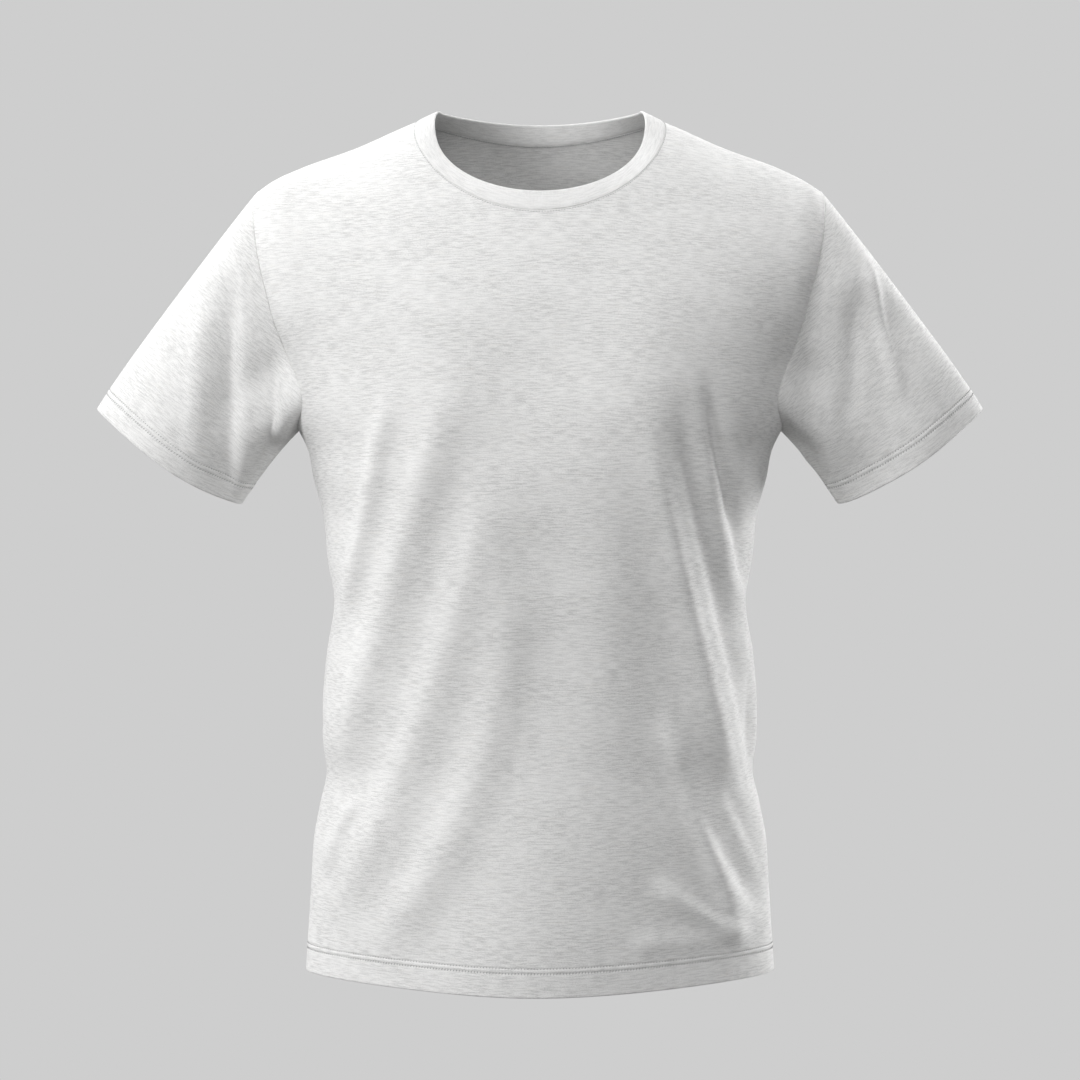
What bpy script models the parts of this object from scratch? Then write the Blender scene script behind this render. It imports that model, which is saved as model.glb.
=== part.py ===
"""A short-sleeved crew neck T-shirt of knitted jersey, hollow, in the form it takes when it is worn.

Five pieces are cut and sewn: front, back, two sleeves and a folded rib neck band. The front and the
back lie on one smooth torso form, and stop at the armholes and at the neckline. Each sleeve starts
on the armhole's own points and each wall leaves a narrow gap at its seams. The hem and the cuffs are
turned up inside, so the wall is double there.

Tables and sizes are in millimetres, X is the wearer's left, Y the back and Z up. The origin is in
the middle of the neck, at the height where the shoulder line starts.
"""
import math
from collections import namedtuple

import bmesh
import bpy
import numpy as np

MM = 0.001
FRONT, BACK = -1, 1                 # the sign of Y on each side
RIGHT, LEFT = -1, 1                 # the wearer's right is at -X
QUARTER = math.pi / 2

# ---- cloth and seams
CLOTH = 1.2                         # the jersey's wall
TURN_UP = 2.2                       # the wall where the hem and the cuffs are folded double
SEAM_GAP = 0.15                     # each piece stops this far from the seam line
HEM_DEPTH = 24.0
CUFF_DEPTH = 21.0

# ---- heights
HEM_Z = -717.0
HEM_DIP = 3.2                       # the hem hangs lower in the middle than at the sides
CHEST_Z = -300.0                    # above this the torso closes towards the shoulder ridge
UNDERARM_RISE = 0.192               # the underarm, as a share of the way from chest to shoulder tip

# ---- neck
NECK_HALF = 105.0                   # half the width at the band's seam, at its widest
NECK_TURN = {FRONT: math.radians(104), BACK: math.radians(76)}   # round to the shoulder seam
NECK_POINT_X = NECK_HALF * math.sin(NECK_TURN[FRONT])            # where the shoulder seam starts
NECK_POINT_Z = 4.6
NECK_DROP = {FRONT: 85.6, BACK: 9.6}                            # from there to the middle
NECK_CURVE = {FRONT: 1.4, BACK: 2.3}
NECK_SHARE = 0.5                    # the share of a panel's columns that end on the neckline

# ---- shoulder
SHOULDER_FORM = 270.0               # the torso form's half width at the top, past the armhole
SHOULDER_SLOPE = 0.41
SHOULDER_ROUND = 40.0               # rounds the ridge where both slopes meet over the neck
TIP_DROP_FROM, TIP_DROP_OVER, TIP_DROP = 190.0, 51.5, 5.2
TIP_ANGLE = math.radians(58.0)      # where the armhole reaches the ridge, as an angle round the form
SCOOP = math.radians(12.0)          # the armhole cuts further into the panels low down,
SCOOP_SHARE = 0.42                  # over this share of its length,
SCOOP_CURVE = 1.5                   # with this power of a sine

# ---- mesh
MITRE_LEAST = 0.3                   # a mitred wall gets no longer than one over this
SMOOTH_UNDER = math.radians(50)
COLUMNS = 40                        # across each panel, a multiple of four
ROWS_LOW, ROWS_HIGH = 18, 18        # hem to underarm, underarm to shoulder tip
ROW_CROWDING = 1.25                 # over 1, rows lie closer towards the underarm
HEM_STEP = 0.04                     # the rows at the hem's stitch line, apart by twice this share
ROW_DIP = 0.13                      # rows sink away from the underarm corner, so that it isn't pinched
NECK_FAN = 2.5                      # the columns turn in to the neck late, so that they fan out there
NECK_SPREAD = 1.3                   # spreads the rows that sink under the neckline
RINGS = (0.0, 0.0625, 0.1625, 0.3, 0.4625, 0.6375, 0.825, 1.0)   # along a sleeve to its cuff
CUFF_STEP = 0.02                    # the last of them stops this far before the cuff's stitch line
SAMPLES = 721                       # along a ring, where an angle is looked up from a width

# The torso form, a ring for each height: half its width, how far the middle of the front and of the
# back stand out, and how square the ring is.
Section = namedtuple("Section", "height half_width front back square")
SECTIONS = (
    Section(-717, 198, 112, 104, 0.0),
    Section(-680, 195, 112, 103, 0.015),
    Section(-640, 192, 111, 101, 0.030),
    Section(-600, 191.5, 110, 98, 0.035),
    Section(-572, 185.5, 109, 95, 0.035),
    Section(-547, 176.5, 108, 92, 0.034),
    Section(-520, 181.5, 107, 90, 0.033),
    Section(-487, 183, 107, 88, 0.032),
    Section(-445, 180, 108, 87, 0.032),
    Section(-402, 171.5, 112, 88, 0.034),
    Section(-370, 179, 117, 90, 0.038),
    Section(-325, 184, 122, 95, 0.045),
    Section(-300, 192, 124, 99, 0.048),
    Section(-272, 195, 124, 104, 0.050),
    Section(-257, 204.5, 124, 107, 0.050),
    Section(-200, 217, 121, 116, 0.050),
    Section(-157, 232, 119, 123, 0.050),
    Section(-110, 252, 115, 130, 0.050),
    Section(-70, 264, 111, 138, 0.050),
    Section(-30, 269, 109, 146, 0.050),
    Section(10, 270, 108, 151, 0.050),
    Section(40, 270, 108, 152, 0.050),
)

# Folds, each a straight or bowed crest seen from the front (or through from the front, on the back):
# its upper and lower end, how far its middle bows towards +X, half its width, and its height, which
# is negative for a trough.
Fold = namedtuple("Fold", "x_top z_top x_low z_low bow width height")
FRONT_FOLDS = (
    Fold(-130, -276, -156, -384, 1, 10, 3.8),
    Fold(-121, -278, -153, -402, 1, 8, -2.5),
    Fold(-87, -262, -155, -504, 5, 11, 5.0),
    Fold(-84, -290, -152, -548, 14, 12, -4.0),
    Fold(-46, -300, -176, -654, 23, 13, 5.0),
    Fold(-57, -425, -156, -664, 16, 12, -4.0),
    Fold(-31, -440, -130, -686, 24, 14, 4.2),
    Fold(-8, -400, -86, -640, 30, 15, -2.2),
    Fold(24, -362, 31, -548, 0, 18, 2.2),
    Fold(-12, -590, -4, -670, 0, 18, 1.5),
    Fold(74, -290, 99, -436, 0, 13, -3.2),
    Fold(90, -276, 122, -442, 2, 10, 3.2),
    Fold(112, -300, 176, -552, 2, 8, 5.8),
    Fold(133, -304, 168, -436, 3, 10, -4.5),
    Fold(144, -280, 170, -402, 3, 6, 3.5),
    Fold(157, -430, 176, -515, 5, 6, 2.8),
    Fold(146, -488, 177, -584, 1, 9, -3.8),
    Fold(100, -488, 180, -656, -3, 9, 4.8),
    Fold(155, -560, 183, -636, 4, 7, 3.2),
    Fold(110, -626, 167, -668, -2, 7, 2.8),
)
BACK_FOLDS = (
    Fold(118, -236, 150, -420, 2, 12, 3.8),
    Fold(84, -262, 146, -548, 8, 13, -4.2),
    Fold(58, -300, 158, -640, 14, 13, 4.5),
    Fold(30, -400, 110, -676, 18, 15, -3.2),
    Fold(6, -360, 26, -600, 0, 17, 3.0),
    Fold(-26, -372, -66, -664, -12, 16, -3.2),
    Fold(-56, -330, -150, -640, -16, 13, 4.2),
    Fold(-92, -270, -158, -520, -6, 12, -4.0),
    Fold(-124, -250, -160, -410, -3, 9, 4.0),
    Fold(0, -60, 0, -250, 0, 26, -2.5),
)
SLEEVE_FOLDS = {
    (RIGHT, FRONT): (
        Fold(-281, -150, -292, -262, 2, 11, 3.0),
        Fold(-261, -146, -272, -268, 2, 9, -5.0),
        Fold(-241, -178, -258, -284, 2, 8, 4.5),
        Fold(-223, -196, -238, -298, 2, 7, -4.0),
        Fold(-213, -206, -215, -250, 0, 5, 2.2),
    ),
    (LEFT, FRONT): (
        Fold(272, -142, 258, -212, -2, 11, -3.2),
        Fold(286, -124, 306, -262, 3, 7, 3.8),
        Fold(307, -206, 316, -272, 1, 8, -2.8),
        Fold(240, -190, 252, -282, 0, 11, 2.5),
    ),
    (RIGHT, BACK): (
        Fold(-268, -140, -290, -270, -2, 11, -3.8),
        Fold(-244, -170, -262, -288, -2, 9, 3.8),
        Fold(-224, -200, -238, -296, 0, 7, -3.0),
    ),
    (LEFT, BACK): (
        Fold(262, -150, 284, -274, 3, 11, 3.8),
        Fold(240, -176, 258, -290, 2, 9, -3.8),
        Fold(222, -204, 236, -296, 0, 7, 2.8),
    ),
}
SEAM_FADE = 28.0                    # folds of the body die out over this depth from the side seams,
SLEEVE_TURN_FADE = 0.35             # those of a sleeve over this sine of the turn from its top,
SLEEVE_SEAM_FADE = 0.12             # and over this share of its length from the armhole
FOLD_START, FOLD_END = 0.25, 0.22   # the shares of a fold over which it rises and dies out

# The cuff is an oval round its middle. Its long way runs from the inner to the outer corner.
CUFF_CENTRE = np.array([316.0, 10.0, -279.5])
CUFF_LONG = np.array([0.836, 0.0, 0.5485])
CUFF_OUT = np.array([0.5485, 0.0, -0.836])         # the way the sleeve points
CUFF_HALF_LONG = 73.5
CUFF_HALF_DEEP = 46.0
CUFF_BACK_TILT = math.radians(13.0)                # the sleeve hangs a little to the back
SLEEVE_RUN = 158.0                                 # from the armhole to the cuff along its top

# How a sleeve leaves the armhole, and how far it runs straight into its cuff: at the top, the
# front, the underarm and the back.
Lead = namedtuple("Lead", "out_x out_y out_z run_in")
SLEEVE_LEADS = (
    Lead(17, 0, -11, 58),
    Lead(30, -4, -14, 45),
    Lead(16, 0, -16, 31),
    Lead(30, 4, -14, 45),
)

# The band's top edge, from its seam: how far in and how far up it stands, at the middle front, the
# side, the middle back and the side.
Reach = namedtuple("Reach", "inward rise")
BAND_REACH = (Reach(8.0, 16.5), Reach(17.4, 10.0), Reach(5.5, 16.6), Reach(17.4, 10.0))

# The folded band's section: a share of its height, and half its thickness there.
Bulge = namedtuple("Bulge", "share half")
BAND_SECTION = (
    Bulge(0.0, 1.0),
    Bulge(0.30, 1.25),
    Bulge(0.62, 1.3),
    Bulge(0.88, 1.1),
    Bulge(1.0, 0.45),
)


def column(table, name, at):
    """A smooth curve through one named column of a table, against its first column."""
    rows = sorted(table)
    known = np.array([row[0] for row in rows], float)
    values = np.array([getattr(row, name) for row in rows], float)
    slopes = np.gradient(values, known)
    at = np.clip(at, known[0], known[-1])
    i = np.clip(np.searchsorted(known, at, side="right") - 1, 0, len(known) - 2)
    step = known[i + 1] - known[i]
    t = (at - known[i]) / step
    ease = t * t * (3 - 2 * t)
    return (values[i] + (values[i + 1] - values[i]) * ease
            + step * t * (1 - t) * ((1 - t) * slopes[i] - t * slopes[i + 1]))


def unit(vectors):
    return vectors / np.linalg.norm(vectors, axis=-1, keepdims=True)


def ease(x):
    x = np.clip(x, 0, 1)
    return x * x * (3 - 2 * x)


# ---------------------------------------------------------------- the torso form
def ring_across(angle, square):
    return (np.sin(angle) + square * np.sin(3 * angle)) / (1 - square)


def ring_deep(angle, square):
    return (np.cos(angle) - square * np.cos(3 * angle)) / (1 - square)


def ridge_z(x):
    """Height of the shoulder ridge over x."""
    level = math.hypot(NECK_POINT_X, SHOULDER_ROUND)
    drop = np.maximum(0, (np.abs(x) - TIP_DROP_FROM) / TIP_DROP_OVER) ** 2 * TIP_DROP
    return NECK_POINT_Z + SHOULDER_SLOPE * (level - np.hypot(x, SHOULDER_ROUND)) - drop


def ridge_over(angle):
    return ridge_z(SHOULDER_FORM * ring_across(angle, SECTIONS[-1].square))


def torso(side, angle, up):
    """A point of the form. angle is 0 in the middle and a quarter turn at the side seam; up is 0 at
    the hem, 1 at the chest and 2 on the shoulder ridge, where front and back meet."""
    arch = QUARTER * np.maximum(up - 1, 0)
    dip = HEM_DIP * np.cos(angle) ** 2 * np.clip(1 - up, 0, 1) ** 3
    z = np.where(up < 1, HEM_Z + (CHEST_Z - HEM_Z) * up - dip,
                 CHEST_Z + (ridge_over(angle) - CHEST_Z) * np.sin(arch))
    square = column(SECTIONS, "square", z)
    x = column(SECTIONS, "half_width", z) * ring_across(angle, square)
    deep = column(SECTIONS, "front" if side == FRONT else "back", z)
    return np.stack([x, side * deep * ring_deep(angle, square) * np.cos(arch), z], axis=-1)


def fold_height(folds, x, z):
    """How far a table of folds lifts the cloth at x, z."""
    total = np.zeros(np.shape(x))
    for fold in folds:
        along_x, along_z = fold.x_low - fold.x_top, fold.z_low - fold.z_top
        length = math.hypot(along_x, along_z)
        share = ((x - fold.x_top) * along_x + (z - fold.z_top) * along_z) / length ** 2
        aside = ((x - fold.x_top) * -along_z + (z - fold.z_top) * along_x) / length
        aside = aside - 4 * fold.bow * share * (1 - share)
        ends = ease(share / FOLD_START) * ease((1 - share) / FOLD_END)
        total = total + fold.height * ends * np.exp(-(aside / fold.width) ** 2)
    return total


def round_mix(table, name, turn):
    """A named column at each turn, from a table with a row for each quarter of the turn."""
    first, second, third, fourth = (getattr(row, name) for row in table)
    return (np.where(np.cos(turn) > 0, first, third) * np.cos(turn) ** 2
            + np.where(np.sin(turn) > 0, second, fourth) * np.sin(turn) ** 2)


def normals_of(surface, u, v, step=1e-4):
    """Unit normals of surface(u, v), from small steps both ways."""
    along_u = surface(u + step, v) - surface(u - step, v)
    along_v = surface(u, v + step) - surface(u, v - step)
    return unit(np.cross(along_u, along_v))


def body_surface(side):
    """The torso form with the folds of one side on it, as a function of angle and up."""
    folds = FRONT_FOLDS if side == FRONT else BACK_FOLDS

    def form(angle, up):
        return torso(side, angle, up)

    def folded(angle, up):
        points = form(angle, up)
        lift = fold_height(folds, points[..., 0], points[..., 2])
        lift = lift * ease(np.abs(points[..., 1]) / SEAM_FADE)
        return points - side * normals_of(form, angle, up) * lift[..., None]

    return folded


# ---------------------------------------------------------------- edges of the panels, on the form
def armhole_base(h):
    """Angle and up along the armhole, from the underarm (0) to the shoulder tip (1), without its
    scoop."""
    low = 1 + math.asin(UNDERARM_RISE) / QUARTER
    angle = QUARTER - (QUARTER - TIP_ANGLE) * np.sin(QUARTER * h)
    return angle, low + (2 - low) * (1 - np.cos(QUARTER * h))


def armhole_scoop(h):
    return SCOOP * np.sin(math.pi * np.clip(h / SCOOP_SHARE, 0, 1)) ** SCOOP_CURVE


def neckline(side, turn):
    """Angle and up of the neck seam; turn runs over a quarter turn each way from the middle."""
    x = NECK_HALF * np.sin(turn * NECK_TURN[side] / QUARTER)
    z = NECK_POINT_Z - NECK_DROP[side] * np.abs(np.cos(turn)) ** NECK_CURVE[side]
    angles = np.linspace(-QUARTER, QUARTER, SAMPLES)
    square = SECTIONS[-1].square
    angle = np.interp(x / column(SECTIONS, "half_width", z), ring_across(angles, square), angles)
    rise = np.clip((z - CHEST_Z) / (ridge_over(angle) - CHEST_Z), 0, 1)
    return angle, 1 + np.arcsin(rise) / QUARTER


def panel_domain(side, across, row):
    """Where a panel's grid point lies on the form. across is -1 to 1; row is 0 at the hem, 1 at the
    underarm and 2 at the top, along the shoulder seams and the neckline."""
    along = np.clip(row - 1, 0, 1)
    hole_angle, hole_up = armhole_base(along)
    edge_angle = np.where(row < 1, QUARTER, hole_angle)
    edge_up = np.where(row < 1, row * armhole_base(0.0)[1], hole_up)

    inside = np.abs(across) <= NECK_SHARE
    turn = QUARTER * np.clip(across / NECK_SHARE, -1, 1)
    neck_angle, neck_up = neckline(side, turn)
    out = (np.abs(across) - NECK_SHARE) / (1 - NECK_SHARE)
    seam_angle = np.sign(across) * (np.abs(neck_angle) + (TIP_ANGLE - np.abs(neck_angle)) * out)
    top_angle = np.where(inside, neck_angle, seam_angle)
    top_up = np.where(inside, neck_up, 2.0)

    lift = np.clip(edge_up - 1, 0, 1)
    angle = edge_angle * (across + (top_angle / TIP_ANGLE - across) * lift ** NECK_FAN)
    angle = angle - armhole_scoop(along) * across ** 3
    fade = np.where(row < 1, row, (2 - row) ** 2)
    up = edge_up - ROW_DIP * (1 - across ** 4) * fade - lift ** NECK_SPREAD * (2 - top_up)
    return angle, up


# ---------------------------------------------------------------- grids of points with normals
def panel_rows():
    """Rows from the hem up, with one where the turned-up hem ends."""
    hem_row = HEM_DEPTH / (CHEST_Z - HEM_Z) / armhole_base(0.0)[1]
    low = 1 - (1 - hem_row) * np.linspace(1, 0, ROWS_LOW)[1:] ** ROW_CROWDING
    high = np.linspace(1, 2, ROWS_HIGH + 1)[1:]
    return np.concatenate([[0, hem_row * (1 - HEM_STEP), hem_row * (1 + HEM_STEP)], low, high])


def body_panel(side):
    """Points and outward normals of the front or the back, as [row, column] grids."""
    row, across = np.meshgrid(panel_rows(), np.linspace(-1, 1, COLUMNS + 1), indexing="ij")
    angle, up = panel_domain(side, across, row)
    surface = body_surface(side)
    return surface(angle, up), -side * normals_of(surface, angle, up)


def armhole_ring(hand):
    """Where one sleeve's armhole lies in the panels' grids, from the shoulder tip down the front
    and up the back: the panel, row and column of each point, then the same with the other panel at
    the two points that both panels share."""
    top = len(panel_rows()) - 1
    low = top - ROWS_HIGH
    row = np.concatenate([np.arange(top, low, -1), np.arange(low, top)])
    panel = np.repeat([0, 1], ROWS_HIGH)
    twin = panel.copy()
    twin[0], twin[ROWS_HIGH] = 1, 0
    edge = np.full(len(row), 0 if hand == RIGHT else COLUMNS)
    return (panel, row, edge), (twin, row, edge)


def neck_ring():
    """The same for the neck seam, from the wearer's right over the front and home over the back."""
    half = COLUMNS // 2
    first, last = half - half // 2, half + half // 2
    edge = np.concatenate([np.arange(first, last), np.arange(last, first, -1)])
    panel = np.repeat([0, 1], half)
    twin = panel.copy()
    twin[0], twin[half] = 1, 0
    row = np.full(len(edge), len(panel_rows()) - 1)
    return (panel, row, edge), (twin, row, edge)


def read_ring(panels, ring):
    own, twin = ring
    return (panels[own] + panels[twin]) / 2


def write_ring(panels, ring, values):
    own, twin = ring
    panels[own] = values
    panels[twin] = values


def cuff_point(turn, hand):
    """The cuff's edge; turn is 0 at its outer corner and a quarter turn at its front."""
    along = CUFF_HALF_LONG * np.cos(turn)[..., None] * CUFF_LONG
    deep = CUFF_HALF_DEEP * np.sin(turn)[..., None] * (
        math.sin(CUFF_BACK_TILT) * CUFF_OUT - np.array([0, math.cos(CUFF_BACK_TILT), 0]))
    return (CUFF_CENTRE + along + deep) * np.array([hand, 1, 1])


def sleeve_surface(hole, hand):
    """The sleeve as a function of share (0 at the armhole, 1 at the cuff) and turn, with its folds.
    hole is the armhole's ring of points."""
    count = len(hole)
    mirror = np.array([hand, 1, 1])

    def hole_at(turn):
        place = turn / (2 * math.pi) * count
        low = np.floor(place).astype(int)
        t = (place - low)[..., None]
        before, here, after, beyond = (hole[(low + k) % count] for k in (-1, 0, 1, 2))
        bend = 2 * before - 5 * here + 4 * after - beyond
        return here + t * (after - before + t * (bend + t * (3 * (here - after) + beyond - before))) / 2

    def form(share, turn):
        start, end = hole_at(turn), cuff_point(turn, hand)
        lead = np.stack([round_mix(SLEEVE_LEADS, name, turn)
                         for name in ("out_x", "out_y", "out_z")], axis=-1) * mirror
        pointing = (math.cos(CUFF_BACK_TILT) * CUFF_OUT
                    + np.array([0, math.sin(CUFF_BACK_TILT), 0])) * mirror
        arrive = end - round_mix(SLEEVE_LEADS, "run_in", turn)[..., None] * pointing
        t = np.asarray(share, float)[..., None]
        return ((1 - t) ** 3 * start + 3 * t * (1 - t) ** 2 * (start + lead)
                + 3 * t * t * (1 - t) * arrive + t ** 3 * end)

    def folded(share, turn):
        points = form(share, turn)
        lift = np.where(np.sin(turn) > 0,
                        fold_height(SLEEVE_FOLDS[hand, FRONT], points[..., 0], points[..., 2]),
                        fold_height(SLEEVE_FOLDS[hand, BACK], points[..., 0], points[..., 2]))
        lift = lift * ease(np.abs(np.sin(turn)) / SLEEVE_TURN_FADE) * ease(share / SLEEVE_SEAM_FADE)
        return points - hand * normals_of(form, share, turn) * lift[..., None]

    return folded


def sleeve(hole, hand):
    """Points and outward normals of a sleeve, as [ring, turn] grids."""
    cuff_line = 1 - CUFF_DEPTH / SLEEVE_RUN
    rings = np.append(np.array(RINGS) * (cuff_line - CUFF_STEP), [cuff_line, 1.0])
    share, turn = np.meshgrid(rings, np.arange(len(hole)) / len(hole) * 2 * math.pi, indexing="ij")
    surface = sleeve_surface(hole, hand)
    points = surface(share, turn)
    points[0] = hole
    return points, -hand * normals_of(surface, share, turn)


def band_rise(seam, turn):
    """From each point of the neck seam to the band's top edge. turn is 0 in the middle of the
    front."""
    around = np.roll(seam, -1, axis=0) - np.roll(seam, 1, axis=0)
    level = around * [1, 1, 0]
    inward = unit(np.cross([0, 0, 1], level))
    return (inward * round_mix(BAND_REACH, "inward", turn)[:, None]
            + round_mix(BAND_REACH, "rise", turn)[:, None] * np.array([0, 0, 1]))


# ---------------------------------------------------------------- seams and walls
def seam_normals(one, other):
    """Vectors midway between two pieces' normals. They are longer where the pieces meet at an
    angle, so that the wall keeps its thickness, as in a mitre."""
    middle = unit(one + other)
    share = np.sum(middle * unit(one), axis=-1, keepdims=True)
    return middle / np.maximum(share, MITRE_LEAST)


def rim(rows, columns):
    """Row and column of each point round the outline of a grid."""
    low = [(0, j) for j in range(columns)]
    up = [(i, columns - 1) for i in range(1, rows)]
    high = [(rows - 1, j) for j in range(columns - 2, -1, -1)]
    down = [(i, 0) for i in range(rows - 2, 0, -1)]
    return tuple(np.array(low + up + high + down).T)


def inset_rim(points, own, seam, side):
    """Moves a panel's outline in along its cloth by the seam gap."""
    at = rim(*points.shape[:2])
    edge, normal = points[at], -side * own[at]
    ahead = unit(np.roll(edge, -1, axis=0) - edge)
    behind = np.roll(ahead, 1, axis=0)
    turn_in, turn_out = unit(np.cross(normal, ahead)), unit(np.cross(normal, behind))
    corner = 1 + np.sum(turn_in * turn_out, axis=-1, keepdims=True)
    reach = SEAM_GAP * np.linalg.norm(seam[at], axis=-1, keepdims=True)
    moved = points.copy()
    moved[at] = edge + reach * (turn_in + turn_out) / corner
    return moved


def grid_faces(rows, columns, wrap_rows, wrap_columns):
    """Quads of a grid of points, numbered row by row."""
    faces = []
    for i in range(rows if wrap_rows else rows - 1):
        for j in range(columns if wrap_columns else columns - 1):
            low, high = i * columns, (i + 1) % rows * columns
            side = (j + 1) % columns
            faces.append((low + j, low + side, high + side, high + j))
    return faces


def wall_loop(points, normals, thickness):
    """A grid that runs up the outside of the cloth and down its inside. thickness is a row's."""
    outer = points + normals * CLOTH / 2
    inner = points - normals * (np.asarray(thickness)[:, None, None] - CLOTH / 2)
    return np.concatenate([outer, inner[::-1]])


def end_faces(rows, columns):
    """Quads that close the two open ends of a panel's wall_loop, on its first and last columns."""
    faces = []
    for i in range(rows // 2 - 1):
        here, there = i * columns, (i + 1) * columns
        over_here, over_there = (rows - 1 - i) * columns, (rows - 2 - i) * columns
        last = columns - 1
        faces.append((here, there, over_there, over_here))
        faces.append((here + last, over_here + last, over_there + last, there + last))
    return faces


def cloth_material(name, colour, roughness):
    material = bpy.data.materials.new(name)
    material.use_nodes = True
    shader = material.node_tree.nodes["Principled BSDF"]
    shader.inputs["Base Color"].default_value = (*colour, 1)
    shader.inputs["Roughness"].default_value = roughness
    shader.inputs["Metallic"].default_value = 0
    return material


def add_piece(name, grid, faces, material):
    mesh = bpy.data.meshes.new(name)
    mesh.from_pydata(grid.reshape(-1, 3) * MM, [], faces)
    closed = bmesh.new()
    closed.from_mesh(mesh)
    bmesh.ops.recalc_face_normals(closed, faces=closed.faces)
    closed.to_mesh(mesh)
    closed.free()
    mesh.shade_smooth()
    mesh.set_sharp_from_angle(angle=SMOOTH_UNDER)
    mesh.materials.append(material)
    bpy.context.scene.collection.objects.link(bpy.data.objects.new(name, mesh))


# ---------------------------------------------------------------- the shirt
def join_panels(normals):
    """Gives both panels the same normals where they meet, on the side and the shoulder seams."""
    rows = normals.shape[1]
    row, across = np.indices((rows, COLUMNS + 1))
    sides = (row < rows - ROWS_HIGH) & (across % COLUMNS == 0)
    shoulders = (row == rows - 1) & (np.abs(across - COLUMNS // 2) >= COLUMNS // 4)
    shared = sides | shoulders
    joined = normals.copy()
    joined[:, shared] = seam_normals(normals[0][shared], normals[1][shared])
    return joined


def band_grid(seam, rise, seam_normal, normal):
    """The folded rib: a ring round the neck whose section runs up outside and down inside."""
    ahead = np.roll(seam, -1, axis=0) - np.roll(seam, 1, axis=0)
    away = unit(np.cross(normal, ahead))
    foot = seam + SEAM_GAP * np.linalg.norm(seam_normal, axis=-1, keepdims=True) * away
    outside, inside = [], []
    for place in BAND_SECTION:
        leaning = normal if place.share else seam_normal
        middle = foot + rise * place.share
        outside.append(middle + leaning * place.half)
        inside.append(middle - leaning * place.half)
    return np.array(outside + inside[::-1])


def main():
    for obj in list(bpy.data.objects):
        bpy.data.objects.remove(obj, do_unlink=True)
    jersey = cloth_material("jersey", (0.86, 0.86, 0.85), 0.92)
    rib = cloth_material("rib", (0.83, 0.83, 0.82), 0.9)

    panels, own = (np.array(pair) for pair in zip(body_panel(FRONT), body_panel(BACK)))
    seams = join_panels(own)

    ring = neck_ring()
    seam = read_ring(panels, ring)
    turn = np.arange(len(seam)) / len(seam) * 2 * math.pi - QUARTER
    rise = band_rise(seam, turn)
    ahead = np.roll(seam, -1, axis=0) - np.roll(seam, 1, axis=0)
    band_normal = unit(np.cross(ahead, rise))
    neck_normal = seam_normals(unit(read_ring(own, ring)), band_normal)
    write_ring(seams, ring, neck_normal)
    grid = band_grid(seam, rise, neck_normal, band_normal)
    add_piece("neck_band", grid, grid_faces(*grid.shape[:2], True, True), rib)

    for hand, name in ((RIGHT, "sleeve_right"), (LEFT, "sleeve_left")):
        ring = armhole_ring(hand)
        hole = read_ring(panels, ring)
        points, normals = sleeve(hole, hand)
        joint = seam_normals(unit(read_ring(own, ring)), normals[0])
        write_ring(seams, ring, joint)
        reach = SEAM_GAP * np.linalg.norm(joint, axis=-1, keepdims=True)
        points[0] += reach * unit(points[1] - points[0])
        normals[0] = joint
        thickness = [CLOTH] * (len(points) - 2) + [TURN_UP] * 2
        grid = wall_loop(points, normals, thickness)
        add_piece(name, grid, grid_faces(*grid.shape[:2], True, True), jersey)

    for side, name in ((FRONT, "body_front"), (BACK, "body_back")):
        number = 0 if side == FRONT else 1
        points = inset_rim(panels[number], own[number], seams[number], side)
        thickness = [TURN_UP] * 2 + [CLOTH] * (len(points) - 2)
        grid = wall_loop(points, seams[number], thickness)
        faces = grid_faces(*grid.shape[:2], True, False) + end_faces(*grid.shape[:2])
        add_piece(name, grid, faces, jersey)


if __name__ == "__main__":
    main()
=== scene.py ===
# %% [markdown]
# # A crew neck T-shirt of light heather jersey
#
# The shirt hangs in the air in the form that a wearer gives it. Five pieces of cloth make it: a front,
# a back, two sleeves and a folded rib band round the neck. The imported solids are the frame: they fix
# the size and the place of each piece. Here each piece becomes a thin shell on the same form, with a
# finer mesh, its seams, its turned-up edges, its stitches and its yarn.

# %% Load the frame
import math
from collections import namedtuple

import bpy
import numpy as np
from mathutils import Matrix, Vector


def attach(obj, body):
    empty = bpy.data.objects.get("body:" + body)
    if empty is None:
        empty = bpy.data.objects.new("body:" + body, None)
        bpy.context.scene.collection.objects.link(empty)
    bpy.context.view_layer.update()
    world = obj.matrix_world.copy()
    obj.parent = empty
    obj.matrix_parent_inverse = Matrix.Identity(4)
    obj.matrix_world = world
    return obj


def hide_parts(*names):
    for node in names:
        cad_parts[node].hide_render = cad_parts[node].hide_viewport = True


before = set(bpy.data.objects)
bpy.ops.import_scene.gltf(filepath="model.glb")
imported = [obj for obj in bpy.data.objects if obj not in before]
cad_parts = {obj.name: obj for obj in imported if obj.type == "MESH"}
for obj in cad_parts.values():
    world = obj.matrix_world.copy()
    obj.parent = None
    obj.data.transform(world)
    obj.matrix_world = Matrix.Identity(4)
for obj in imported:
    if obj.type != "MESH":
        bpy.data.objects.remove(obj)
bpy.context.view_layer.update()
print("solids in the frame:", sorted(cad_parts))

# %% [markdown]
# ## The camera
#
# Clothes look right from well back, through a long lens at the height of the middle of the shirt, so
# that nothing is drawn wide at the edges. The camera is made first, because every choice of light and
# fold below is judged through it.

# %% Place the camera
MM = 0.001                          # sizes and tables below are in millimetres
CAMERA_BACK = 2200.0                # from the middle of the shirt to the lens
CAMERA_Z = -351.0
VIEW_WIDTH = 918.0                  # what the frame takes in at the middle of the shirt
SENSOR = 36.0

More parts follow.
